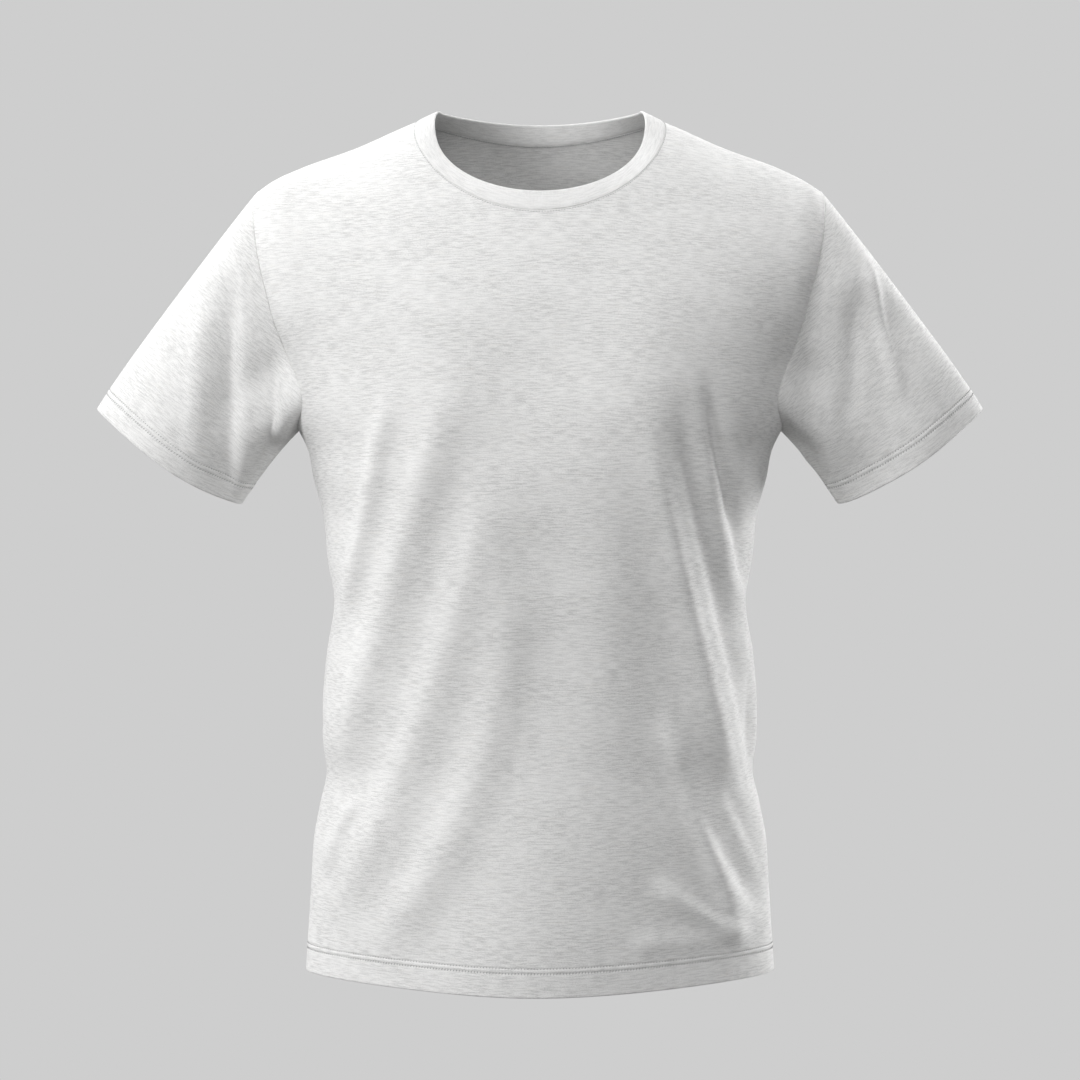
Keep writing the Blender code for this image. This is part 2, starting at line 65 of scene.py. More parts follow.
lens = bpy.data.cameras.new("camera")
lens.sensor_width = SENSOR
lens.lens = SENSOR * CAMERA_BACK / VIEW_WIDTH
camera = bpy.data.objects.new("camera", lens)
camera.location = (0, -CAMERA_BACK * MM, CAMERA_Z * MM)
camera.rotation_euler = (math.radians(90), 0, 0)
bpy.context.scene.collection.objects.link(camera)
bpy.context.scene.camera = camera
print("lens", round(lens.lens, 1), "mm")

# %% [markdown]
# ## The torso form
#
# A worn shirt takes the form of a torso, and a torso is easy to describe from below: one oval ring
# for each height. A short table holds the rings, and a smooth curve through each of its columns
# gives every height between. Front and back are halves of the same form, so they meet at the sides.
# Above the chest the form closes over the shoulders to a ridge, where front and back meet again.
#
# X points to the wearer's left, Y to the back and Z up, from the middle of the neck.

# %% The torso form
FRONT, BACK = -1, 1                 # the sign of Y on each side
RIGHT, LEFT = -1, 1                 # the wearer's right is at -X
QUARTER = math.pi / 2
HEM_Z = -715.2
HEM_DIP = 5.2                       # the hem hangs lower in the middle than at the sides
CHEST_Z = -300.0
SHOULDER_FORM = 270.0
SHOULDER_SLOPE = 0.41
SHOULDER_ROUND = 40.0
SHOULDER_DIP, DIP_AT, DIP_HALF = 2.6, 155.0, 34.0   # the slope sags between the neck and the tip
TIP_DROP_FROM, TIP_DROP_OVER, TIP_DROP = 190.0, 51.5, 5.2
NECK_HALF = 105.0
NECK_TURN = {FRONT: math.radians(104), BACK: math.radians(76)}
NECK_POINT_X = NECK_HALF * math.sin(NECK_TURN[FRONT])
NECK_POINT_Z = 4.6

Section = namedtuple("Section", "height half_width front back square")
SECTIONS = (
    Section(-717, 198.3, 113, 104, -0.045),
    Section(-680, 196, 113, 103, -0.040),
    Section(-640, 193.5, 112, 101, -0.030),
    Section(-600, 190.8, 111, 98, -0.015),
    Section(-572, 185.5, 110, 95, -0.003),
    Section(-547, 180, 109, 92, 0.006),
    Section(-520, 183, 108.5, 90, 0.014),
    Section(-487, 183.5, 109, 88, 0.022),
    Section(-445, 180, 110.5, 87, 0.028),
    Section(-402, 173.8, 114, 88, 0.034),
    Section(-370, 179, 116, 90, 0.038),
    Section(-325, 184, 120.5, 95, 0.034),
    Section(-300, 191, 122.5, 99, 0.030),
    Section(-272, 197, 123.5, 104, 0.026),
    Section(-257, 204.5, 124, 107, 0.024),
    Section(-200, 217, 121, 116, 0.036),
    Section(-157, 232, 119, 123, 0.047),
    Section(-110, 252, 115, 130, 0.050),
    Section(-70, 264, 111, 138, 0.050),
    Section(-30, 269, 109, 146, 0.050),
    Section(10, 270, 108, 151, 0.050),
    Section(40, 270, 108, 152, 0.050),
)


def ease(x):
    x = np.clip(x, 0, 1)
    return x * x * (3 - 2 * x)


def unit(vectors):
    return vectors / np.linalg.norm(vectors, axis=-1, keepdims=True)


def column(table, name, at):
    """A smooth curve through one named column of a table, against its first column."""
    rows = sorted(table)
    known = np.array([row[0] for row in rows], float)
    values = np.array([getattr(row, name) for row in rows], float)
    slopes = np.gradient(values, known)
    at = np.clip(at, known[0], known[-1])
    i = np.clip(np.searchsorted(known, at, side="right") - 1, 0, len(known) - 2)
    step = known[i + 1] - known[i]
    t = (at - known[i]) / step
    return (values[i] + (values[i + 1] - values[i]) * ease(t)
            + step * t * (1 - t) * ((1 - t) * slopes[i] - t * slopes[i + 1]))


def ring_across(angle, square):
    return (np.sin(angle) + square * np.sin(3 * angle)) / (1 - square)


def ring_deep(angle, square):
    return (np.cos(angle) - square * np.cos(3 * angle)) / (1 - square)


def ridge_z(x):
    """Height of the shoulder ridge over x."""
    level = math.hypot(NECK_POINT_X, SHOULDER_ROUND)
    drop = np.maximum(0, (np.abs(x) - TIP_DROP_FROM) / TIP_DROP_OVER) ** 2 * TIP_DROP
    drop = drop + SHOULDER_DIP * np.exp(-((np.abs(x) - DIP_AT) / DIP_HALF) ** 2)
    return NECK_POINT_Z + SHOULDER_SLOPE * (level - np.hypot(x, SHOULDER_ROUND)) - drop


def ridge_over(angle):
    return ridge_z(SHOULDER_FORM * ring_across(angle, SECTIONS[-1].square))


def torso(side, angle, up):
    """A point of the form. angle is 0 in the middle and a quarter turn at the side seam; up is 0 at
    the hem, 1 at the chest and 2 on the shoulder ridge."""
    arch = QUARTER * np.maximum(up - 1, 0)
    dip = HEM_DIP * np.cos(angle) ** 2 * np.clip(1 - up, 0, 1) ** 3
    z = np.where(up < 1, HEM_Z + (CHEST_Z - HEM_Z) * up - dip,
                 CHEST_Z + (ridge_over(angle) - CHEST_Z) * np.sin(arch))
    square = column(SECTIONS, "square", z)
    x = column(SECTIONS, "half_width", z) * ring_across(angle, square)
    deep = column(SECTIONS, "front" if side == FRONT else "back", z)
    return np.stack([x, side * deep * ring_deep(angle, square) * np.cos(arch), z], axis=-1)


girth = np.linalg.norm(np.diff(torso(FRONT, np.linspace(-QUARTER, QUARTER, 90), 0.0), axis=0), axis=1)
print("the front's hem is", round(girth.sum()), "mm wide, laid flat")

# %% [markdown]
# ## Folds
#
# Jersey is soft, so a worn shirt is never smooth: the cloth hangs from the shoulders and the chest,
# is pulled in at the waist, and the slack falls in long folds that run down and out to the sides.
# Each fold here is one row of a table: where its crest starts and ends, how far its middle bows
# aside, half its width, and its height, which is negative for a trough. Its section is a bell curve
# that may lean to one side, because a real fold is steeper on the side that it sags to.
#
# A cloth simulation would also make folds, but other ones each time something changes. Folds from a
# table stay where they are put.

# %% Folds of the body
Fold = namedtuple("Fold", "x_top z_top x_low z_low bow width height lean fade", defaults=(0.0, 0.24))
BULGE = 0.5                         # the fade of a broad swelling: it rises to its middle and falls again
FRONT_FOLDS = (
    Fold(236, 30, 208, -215, 0, 16, 4.0),
    Fold(-236, 30, -208, -215, 0, 24, 6.5),
    Fold(-90, -110, -92, -365, 0, 42, 4.5, fade=BULGE),
    Fold(84, -100, 92, -365, 0, 46, 8.0, fade=BULGE),
    Fold(-10, -150, -23, -330, 0, 33, -3.5, fade=BULGE),
    Fold(-14, -430, -16, -830, 0, 62, 6.5, fade=BULGE),
    Fold(-121, -224, -170, -442, 3, 9, 5.2),
    Fold(-68, -209, -187, -578, 6, 17, 6.5),
    Fold(-20, -240, -42, -500, 0, 37, 3.5, fade=BULGE),
    Fold(-34, -274, -180, -686, 18, 20, 6.8, -0.2),
    Fold(-26, -351, -150, -710, 38, 20, 6.4),
    Fold(37, -205, 67, -570, 0, 34, 5, fade=BULGE),
    Fold(88, -320, 111, -700, 0, 45, -4.5, fade=BULGE),
    Fold(78, -241, 169, -591, 0, 11, 5.5, 0.3),
    Fold(105, -224, 206, -607, 0, 14, -8.5, -0.3, fade=0.2),
    Fold(123, -236, 170, -434, 0, 9, 3, 0.35),
    Fold(129, -204, 184, -425, 0, 7, -4.8, -0.3),
    Fold(133, -228, 165, -351, 0, 6, -3, 0.2),
    Fold(167, -376, 178, -475, 0, 9, 4, 0.4),
    Fold(98, -482, 173, -698, 0, 11, 6.5, -0.2),
    Fold(103, -511, 194, -669, -6.5, 10, -4.2, -0.3),
    Fold(152, -549, 193, -632, 0, 8, -2.6, -0.3),
    Fold(89, -627, 178, -686, -3, 8, 5),
    Fold(65, -680, 177, -680, 0, 9, 2),
    Fold(-145, -559, -177, -632, -6, 7, 3),
)
BACK_FOLDS = (
    Fold(236, 30, 208, -215, 0, 24, 3.0),
    Fold(-236, 30, -208, -215, 0, 24, 3.0),
    Fold(118, -236, 150, -420, 2, 12, 3.8),
    Fold(84, -262, 146, -548, 8, 13, -4.2),
    Fold(58, -300, 158, -640, 14, 13, 4.5),
    Fold(30, -400, 110, -676, 18, 15, -3.2),
    Fold(6, -360, 26, -600, 0, 17, 3.0),
    Fold(-26, -372, -66, -664, -12, 16, -3.2),
    Fold(-56, -330, -150, -640, -16, 13, 4.2),
    Fold(-92, -270, -158, -520, -6, 12, -4.0),
    Fold(-124, -250, -160, -410, -3, 9, 4.0),
    Fold(0, -60, 0, -250, 0, 26, -2.5),
)
BODY_FOLDS = {FRONT: FRONT_FOLDS, BACK: BACK_FOLDS}
SEAM_FADE = 28.0                    # folds of the body die out over this depth from the side seams


def fold_height(folds, x, z):
    """How far a table of folds lifts the cloth at x, z."""
    total = np.zeros(np.shape(x))
    for fold in folds:
        along_x, along_z = fold.x_low - fold.x_top, fold.z_low - fold.z_top
        length = math.hypot(along_x, along_z)
        share = ((x - fold.x_top) * along_x + (z - fold.z_top) * along_z) / length ** 2
        aside = ((x - fold.x_top) * -along_z + (z - fold.z_top) * along_x) / length
        aside = (aside - 4 * fold.bow * share * (1 - share)) / fold.width
        aside = aside * (1 + fold.lean * np.tanh(aside))
        ends = ease(share / fold.fade) * ease((1 - share) / fold.fade)
        total = total + fold.height * ends * np.exp(-aside ** 2)
    return total


def normals_of(surface, u, v, step=1e-4):
    """Unit normals of surface(u, v), from small steps both ways."""
    along_u = surface(u + step, v) - surface(u - step, v)
    along_v = surface(u, v + step) - surface(u, v - step)
    return unit(np.cross(along_u, along_v))


def body_surface(side):
    """The torso form with the folds of one side on it, as a function of angle and up."""
    def form(angle, up):
        return torso(side, angle, up)

    def folded(angle, up):
        points = form(angle, up)
        lift = fold_height(BODY_FOLDS[side], points[..., 0], points[..., 2])
        lift = lift * ease(np.abs(points[..., 1]) / SEAM_FADE)
        return points - side * normals_of(form, angle, up) * lift[..., None]

    return folded


BODY = {side: body_surface(side) for side in (FRONT, BACK)}
print(len(FRONT_FOLDS), "folds on the front,", len(BACK_FOLDS), "on the back")

# %% [markdown]
# ## The cut of the front and the back
#
# The cutter's lines are curves on the form: the armhole, from the underarm to the shoulder tip, and
# the neckline. Between them and the hem each panel gets a grid. Its outer columns follow the side
# seam and then the armhole, and its last row follows the shoulder seams and the neckline, so the
# mesh has its edges exactly where the cloth has them and needs no cutting.

# %% Lines of the cut
UNDERARM_RISE = 0.192               # the underarm, as a share of the way from chest to shoulder tip
NECK_DROP = {FRONT: 85.6, BACK: 9.6}
NECK_CURVE = {FRONT: 1.4, BACK: 2.3}
NECK_SHARE = 0.5                    # the share of a panel's width that ends on the neckline
TIP_ANGLE = math.radians(58.0)
SCOOP = math.radians(12.0)          # the armhole cuts further into the panels low down,
SCOOP_SHARE = 0.42                  # over this share of its length,
SCOOP_CURVE = 1.5                   # with this power of a sine
ROW_DIP = 0.13                      # rows sink away from the underarm corner
NECK_FAN = 2.5                      # the columns turn in to the neck late
NECK_SPREAD = 1.3                   # spreads the rows that sink under the neckline
SAMPLES = 721


def armhole_base(h):
    """Angle and up along the armhole, from the underarm (0) to the shoulder tip (1)."""
    low = 1 + math.asin(UNDERARM_RISE) / QUARTER
    angle = QUARTER - (QUARTER - TIP_ANGLE) * np.sin(QUARTER * h)
    return angle, low + (2 - low) * (1 - np.cos(QUARTER * h))


def armhole_scoop(h):
    return SCOOP * np.sin(math.pi * np.clip(h / SCOOP_SHARE, 0, 1)) ** SCOOP_CURVE


def neckline(side, turn):
    """Angle and up of the neck seam; turn runs over a quarter turn each way from the middle."""
    x = NECK_HALF * np.sin(turn * NECK_TURN[side] / QUARTER)
    z = NECK_POINT_Z - NECK_DROP[side] * np.abs(np.cos(turn)) ** NECK_CURVE[side]
    angles = np.linspace(-QUARTER, QUARTER, SAMPLES)
    angle = np.interp(x / column(SECTIONS, "half_width", z),
                      ring_across(angles, SECTIONS[-1].square), angles)
    rise = np.clip((z - CHEST_Z) / (ridge_over(angle) - CHEST_Z), 0, 1)
    return angle, 1 + np.arcsin(rise) / QUARTER


def panel_domain(side, across, row):
    """Where a panel's grid point lies on the form. across is -1 to 1; row is 0 at the hem, 1 at the
    underarm and 2 at the top, along the shoulder seams and the neckline."""
    along = np.clip(row - 1, 0, 1)
    hole_angle, hole_up = armhole_base(along)
    edge_angle = np.where(row < 1, QUARTER, hole_angle)
    edge_up = np.where(row < 1, row * armhole_base(0.0)[1], hole_up)

    neck_angle, neck_up = neckline(side, QUARTER * np.clip(across / NECK_SHARE, -1, 1))
    out = (np.abs(across) - NECK_SHARE) / (1 - NECK_SHARE)
    seam_angle = np.sign(across) * (np.abs(neck_angle) + (TIP_ANGLE - np.abs(neck_angle)) * out)
    inside = np.abs(across) <= NECK_SHARE
    top_angle = np.where(inside, neck_angle, seam_angle)
    top_up = np.where(inside, neck_up, 2.0)

    lift = np.clip(edge_up - 1, 0, 1)
    angle = edge_angle * (across + (top_angle / TIP_ANGLE - across) * lift ** NECK_FAN)
    angle = angle - armhole_scoop(along) * across ** 3
    fade = np.where(row < 1, row ** 3, (2 - row) ** 2)
    up = edge_up - ROW_DIP * (1 - across ** 4) * fade - lift ** NECK_SPREAD * (2 - top_up)
    return angle, up


# %% [markdown]
# ## How fine the mesh is
#
# A fold is 10 to 30 mm wide, so squares of about 3 mm draw it well. A seam is a groove of 1 mm, and a
# row of stitches pulls the cloth in over 1 mm, so rows and columns crowd together there. That is
# cheaper than a fine mesh all over, and gives true shadows in the grooves.

# %% Spacing of rows and columns
HEM_FOLD = 1.1                      # the radius that the cloth is turned up with
HEM_ROWS = (19.4, 23.4)             # the two rows of stitches, from the edge
CUFF_ROWS = (16.4, 20.8)
CROWD = (0.0, 0.5, 1.0, 1.6, 2.3, 3.1, 4.2, 5.8)        # distances from a seam
NEAR_STITCHES = (-1.6, -1.0, -0.5, 0.0, 0.5, 1.0, 1.6)  # distances from a row of stitches
STEP_ACROSS = 2.5
STEP_UP = 3.3
STEP_HIGH = 2.9
HALF_WIDTH = 255.0                  # of a panel, laid flat
LOW_LENGTH = (CHEST_Z - HEM_Z) * armhole_base(0.0)[1]   # from the hem to the underarm's row
HIGH_LENGTH = 175.0                 # from there to the top
UNDERARM_LENGTH = 90.0              # the same near the underarm's corner


def run(start, end, step):
    """Evenly spaced values from start up to but not including end, about a step apart."""
    return np.linspace(start, end, max(2, round((end - start) / step)), endpoint=False)


def edge_rows(stitch_rows, depth):
    """Distances from a turned-up edge to a little past its stitches."""
    near = [line + offset for line in stitch_rows for offset in NEAR_STITCHES]
    rows = [HEM_FOLD, 2.2, 4.0, *run(6.5, stitch_rows[0] - 2.4, 3.0), *near,
            *(depth + offset for offset in (1.2, 2.0, 3.2, 5.0))]
    kept = [rows[0]]
    for row in sorted(rows)[1:]:
        if row - kept[-1] > 0.3:
            kept.append(row)
    return kept


def panel_columns():
    crowd = np.array(CROWD) / HALF_WIDTH
    inner = run(0.0, NECK_SHARE, STEP_ACROSS / HALF_WIDTH)
    outer = run(NECK_SHARE, 1 - crowd[-1], STEP_ACROSS / HALF_WIDTH)
    half = np.concatenate([inner, outer, 1 - crowd[::-1]])
    return np.concatenate([-half[:0:-1], half])


def panel_rows():
    hem = np.array(edge_rows(HEM_ROWS, HEM_ROWS[1])) / LOW_LENGTH
    crowd = np.array(CROWD) / HIGH_LENGTH
    low = run(hem[-1] + STEP_UP / LOW_LENGTH, 1.0, STEP_UP / LOW_LENGTH)
    corner = 1 + np.array(CROWD) / UNDERARM_LENGTH
    high = run(corner[-1] + 0.015, 2 - crowd[-1], STEP_HIGH / HIGH_LENGTH)
    return np.concatenate([hem, low, corner, high, 2 - crowd[::-1]])


ACROSS, ROWS = panel_columns(), panel_rows()
NECK_FIRST = int(np.argmin(np.abs(ACROSS + NECK_SHARE)))
NECK_LAST = int(np.argmin(np.abs(ACROSS - NECK_SHARE)))
print(len(ROWS), "rows and", len(ACROSS), "columns a panel")

# %% [markdown]
# ## Cloth coordinates
#
# The yarn doesn't follow the room, it follows the cloth: the rows of loops run round the body, and
# round each sleeve. So each point gets its place on the cloth laid flat, measured along the surface,
# as a UV map in metres. A pattern drawn in those coordinates keeps its real size everywhere.

# %% Measure along the cloth
def lengths_along(points, axis):
    """Distance travelled along a grid of points, from its first row or column."""
    steps = np.linalg.norm(np.diff(points, axis=axis), axis=-1)
    start = np.zeros_like(np.take(steps, [0], axis=axis))
    return np.concatenate([start, np.cumsum(steps, axis=axis)], axis=axis)


def body_cloth(side, angle, up):
    """Place on the laid-out panel, in mm: round the body from the middle, and up from the hem."""
    angles, ups = np.linspace(-QUARTER, QUARTER, 61), np.linspace(0, 2, 81)
    grid = torso(side, *np.meshgrid(angles, ups))
    round_body = lengths_along(grid, 1)
    round_body = round_body - round_body[:, [30]]
    from_hem = lengths_along(grid, 0)
    at_angle = np.clip((angle + QUARTER) / (angles[1] - angles[0]), 0, 59.999)
    at_up = np.clip(up / (ups[1] - ups[0]), 0, 79.999)
    i, j = at_up.astype(int), at_angle.astype(int)
    s, t = at_up - i, at_angle - j

    def between(table):
        low = table[i, j] * (1 - t) + table[i, j + 1] * t
        high = table[i + 1, j] * (1 - t) + table[i + 1, j + 1] * t
        return low * (1 - s) + high * s

    return np.stack([between(round_body), between(from_hem)], axis=-1)


# %% [markdown]
# ## The panels' points
#
# Every point of a panel has a place, a normal and its cloth coordinates. Where two pieces share a
# seam they also share its points, and their walls meet in a mitre, on the bisector of their normals.

# %% Points of the panels
MITRE_LEAST = 0.3

across, row = np.meshgrid(ACROSS, ROWS)
panel_points, panel_normals, panel_cloth = {}, {}, {}
for side in (FRONT, BACK):
    angle, up = panel_domain(side, across, row)
    panel_points[side] = BODY[side](angle, up)
    panel_normals[side] = -side * normals_of(BODY[side], angle, up)
    panel_cloth[side] = body_cloth(side, angle, up)


def seam_normals(one, other):
    """Vectors midway between two pieces' normals, longer where the pieces meet at an angle."""
    middle = unit(one + other)
    share = np.sum(middle * unit(one), axis=-1, keepdims=True)
    return middle / np.maximum(share, MITRE_LEAST)


side_seam = (row <= 1) & (np.abs(across) == 1)
shoulder_seam = (row == 2) & (np.abs(across) >= NECK_SHARE)
shared = side_seam | shoulder_seam
wall = {side: panel_normals[side].copy() for side in (FRONT, BACK)}
middle = seam_normals(panel_normals[FRONT][shared], panel_normals[BACK][shared])
for side in (FRONT, BACK):
    wall[side][shared] = middle
print("front panel: hem to neck", round(float(panel_cloth[FRONT][-1, len(ACROSS) // 2, 1])), "mm")

# %% [markdown]
# ## The sleeves
#
# A set-in sleeve is a tube whose upper end is sewn round the armhole and whose lower end is the cuff.
# Each line of the tube is a Bezier curve from a point of the armhole to a point of the cuff's oval.
# It leaves the armhole outwards and reaches the cuff in the direction of the arm, and that gives the
# rounded shoulder head at the top and the short, slack underarm.

# %% The sleeves' surface
CUFF_CENTRE = np.array([316.0, 10.0, -279.5])
CUFF_LONG = np.array([0.836, 0.0, 0.5485])
CUFF_OUT = np.array([0.5485, 0.0, -0.836])
CUFF_HALF_LONG = 73.5
CUFF_HALF_DEEP = 46.0
CUFF_BACK_TILT = math.radians(13.0)
CUFF_SQUARE = -0.05                 # a cuff is sharper at its two ends than an oval
SLEEVE_TURN_FADE = 0.22
SLEEVE_SEAM_FADE = 0.08

Lead = namedtuple("Lead", "out_x out_y out_z run_in")   # at the top, front, underarm and back
SLEEVE_LEADS = (
    Lead(12, 0, -14.3, 58),
    Lead(30, -4, -14, 45),
    Lead(16, 0, -16, 31),
    Lead(30, 4, -14, 45),
)
SLEEVE_FOLDS = {
    (RIGHT, FRONT): (
        Fold(-260, -121, -267, -334, 6, 9, -8, 0.3),
        Fold(-279, -142, -291, -301, 0, 10, 4),
        Fold(-221, -188, -235, -343, 4, 7.6, -8, 0.5),
    ),
    (LEFT, FRONT): (
        Fold(272, -130, 284, -334, 0, 36, -9),
        Fold(269, -100, 306, -240, 0, 5.5, 4.2),
        Fold(222, -186, 227, -304, 0, 15, -5),
        Fold(267, -134, 256, -268, 0, 9, -2.5),
    ),
    (RIGHT, BACK): (
        Fold(-268, -140, -290, -270, -2, 11, -3.8),
        Fold(-244, -170, -262, -288, -2, 9, 3.8),
        Fold(-224, -200, -238, -296, 0, 7, -3.0),
    ),
    (LEFT, BACK): (
        Fold(262, -150, 284, -274, 3, 11, 3.8),
        Fold(240, -176, 258, -290, 2, 9, -3.8),
        Fold(222, -204, 236, -296, 0, 7, 2.8),
    ),
}


def round_mix(table, name, turn):
    """A named column at each turn, from a table with a row for each quarter of the turn."""
    first, second, third, fourth = (getattr(row, name) for row in table)
    return (np.where(np.cos(turn) > 0, first, third) * np.cos(turn) ** 2
            + np.where(np.sin(turn) > 0, second, fourth) * np.sin(turn) ** 2)


def armhole_point(turn, hand):
    """The armhole on the body. turn is 0 at the shoulder tip and half a turn at the underarm."""
    turn = np.mod(turn, 2 * math.pi)
    height = 2 - np.where(turn < math.pi, turn, 2 * math.pi - turn) / math.pi
    edge = np.full(np.shape(turn), float(hand))
    front, back = (BODY[side](*panel_domain(side, edge, height)) for side in (FRONT, BACK))
    return np.where((turn < math.pi)[..., None], front, back)


def cuff_point(turn, hand):
    """The cuff's edge; turn is 0 at its outer corner and a quarter turn at its front."""
    droop = math.sin(CUFF_BACK_TILT) * (0.85 - 0.35 * np.cos(turn))[..., None] * CUFF_OUT
    deep = droop - np.array([0, math.cos(CUFF_BACK_TILT), 0])
    long_share, deep_share = (ring(QUARTER - turn, CUFF_SQUARE) for ring in (ring_across, ring_deep))
    return (CUFF_CENTRE + CUFF_HALF_LONG * long_share[..., None] * CUFF_LONG
            + CUFF_HALF_DEEP * deep_share[..., None] * deep) * np.array([hand, 1, 1])


def sleeve_surface(hand):
    """The sleeve as a function of share (0 at the armhole, 1 at the cuff) and turn, with folds."""
    mirror = np.array([hand, 1, 1])
    pointing = math.cos(CUFF_BACK_TILT) * CUFF_OUT + np.array([0, math.sin(CUFF_BACK_TILT), 0])

    def form(share, turn):
        start, end = armhole_point(turn, hand), cuff_point(turn, hand)
        lead = np.stack([round_mix(SLEEVE_LEADS, name, turn)
                         for name in ("out_x", "out_y", "out_z")], axis=-1) * mirror
        arrive = end - round_mix(SLEEVE_LEADS, "run_in", turn)[..., None] * pointing * mirror
        t = np.asarray(share, float)[..., None]
        return ((1 - t) ** 3 * start + 3 * t * (1 - t) ** 2 * (start + lead)
                + 3 * t * t * (1 - t) * arrive + t ** 3 * end)

    def folded(share, turn):
        points = form(share, turn)
        lift = np.where(np.sin(turn) > 0,
                        fold_height(SLEEVE_FOLDS[hand, FRONT], points[..., 0], points[..., 2]),
                        fold_height(SLEEVE_FOLDS[hand, BACK], points[..., 0], points[..., 2]))
        lift = lift * ease(np.abs(np.sin(turn)) / SLEEVE_TURN_FADE) * ease(share / SLEEVE_SEAM_FADE)
        return points - hand * normals_of(form, share, turn) * lift[..., None]

    return folded


# %% [markdown]
# The sleeve's grid starts on the armhole's own points, from the underarm up the back, over the
# shoulder tip and down the front. Its cloth coordinates run round the arm from the top line, and up
# from the cuff, so that the rows of loops lie parallel to the cuff.

# %% Points of the sleeves
SLEEVE_RUN = 160.0
STEP_SLEEVE = 3.0

high = np.flatnonzero(ROWS >= 1)
ring_rows = np.concatenate([high, high[-2:0:-1]])                   # rows of the panel, round the hole
on_back = np.arange(len(ring_rows)) < len(high)
ring_turn = np.where(on_back, math.pi * ROWS[ring_rows], 2 * math.pi + math.pi * (2 - ROWS[ring_rows]))


def sleeve_shares(surface):
    """The share of each grid point, so that rows lie at true distances from the armhole's seam
    and from the cuff's edge, all round."""
    fine = np.linspace(1, 0, 161)
    walked = lengths_along(surface(*np.meshgrid(fine, ring_turn, indexing="ij")), 0)
    cuff = np.array(edge_rows(CUFF_ROWS, CUFF_ROWS[1]))
    crowd = np.array(CROWD)[::-1]
    between = run(0.0, 1.0, STEP_SLEEVE / SLEEVE_RUN)[1:]
    shares = []
    for column_walked in walked.T:
        length = column_walked[-1]
        free = cuff[-1] + between * (length - crowd[0] - cuff[-1])
        shares.append(np.interp([*cuff, *free, *(length - crowd)], column_walked, fine)[::-1])
    return np.array(shares).T


def read_ring(values, hand):
    """A panel quantity round one armhole, the mean of both panels at the two points they share."""
    edge = 0 if hand == RIGHT else len(ACROSS) - 1
    front, back = (values[side][ring_rows, edge] for side in (FRONT, BACK))
    both = np.isin(ring_rows, (high[0], high[-1]))[:, None]
    return np.where(both, (front + back) / 2, np.where(on_back[:, None], back, front))


def write_ring(values, hand, ring):
    edge = 0 if hand == RIGHT else len(ACROSS) - 1
    both = np.isin(ring_rows, (high[0], high[-1]))
    values[BACK][ring_rows[on_back | both], edge] = ring[on_back | both]
    values[FRONT][ring_rows[~on_back | both], edge] = ring[~on_back | both]


sleeve_points, sleeve_walls, sleeve_cloth = {}, {}, {}
for hand in (RIGHT, LEFT):
    surface = sleeve_surface(hand)
    share = sleeve_shares(surface)
    turn = np.broadcast_to(ring_turn, share.shape)
    points = surface(share, turn)
    points[0] = read_ring(panel_points, hand)
    normals = -hand * normals_of(surface, share, turn)
    joint = seam_normals(unit(read_ring(panel_normals, hand)), normals[0])
    write_ring(wall, hand, joint)
    normals[0] = joint
    closed = np.concatenate([points, points[:, :1]], axis=1)
    round_arm = lengths_along(closed, 1)
    round_arm = round_arm - round_arm[:, [len(high) - 1]]
    from_cuff = HEM_FOLD + lengths_along(closed[::-1], 0)[::-1]
    sleeve_points[hand], sleeve_walls[hand] = points, normals
    sleeve_cloth[hand] = np.stack([round_arm, from_cuff], axis=-1)
print("sleeve grid", sleeve_points[LEFT].shape[:2], "top line",
      round(float(sleeve_cloth[LEFT][0, len(high) - 1, 1])), "mm long")

# %% [markdown]
# ## The neck band
#
# The band is a strip of rib, folded lengthwise and sewn to the neckline, a little shorter than it, so
# that it stands up and lies against the neck. Its section goes up the outside, over the fold and
# down the inside. It is swept round the neckline's own points.

# %% Points of the neck band
Reach = namedtuple("Reach", "inward rise")   # of its top from its seam: front, side, back, side
BAND_REACH = (Reach(8.0, 16.5), Reach(17.4, 7.8), Reach(5.5, 16.6), Reach(17.4, 7.8))
Bulge = namedtuple("Bulge", "share half")
BAND_SECTION = (
    Bulge(0.0, 0.75),
    Bulge(0.06, 1.0),
    Bulge(0.30, 1.22),
    Bulge(0.62, 1.28),
    Bulge(0.88, 1.18),
)
BAND_ROUND = 0.93                   # above this share the fold is half an oval
BAND_SHARES = (0.0, 0.03, 0.07, 0.12, 0.2, 0.3, 0.4, 0.5, 0.6, 0.7, 0.8, 0.87, 0.93)
BAND_ARC = np.radians([22.0, 42.0, 60.0, 76.0])


def neck_ring(values):
    """A panel quantity round the neck seam, from the wearer's left over the back and the front."""
    back = values[BACK][-1, NECK_LAST:NECK_FIRST:-1]
    front = values[FRONT][-1, NECK_FIRST:NECK_LAST]
    ring = np.concatenate([back, front])
    for at, across_at in ((0, NECK_LAST), (len(back), NECK_FIRST)):
        ring[at] = (values[FRONT][-1, across_at] + values[BACK][-1, across_at]) / 2
    return ring


def write_neck_ring(values, ring):
    half = NECK_LAST - NECK_FIRST
    values[BACK][-1, NECK_LAST:NECK_FIRST:-1] = ring[:half]
    values[FRONT][-1, NECK_FIRST:NECK_LAST] = ring[half:]
    values[FRONT][-1, NECK_LAST] = ring[0]
    values[BACK][-1, NECK_FIRST] = ring[half]


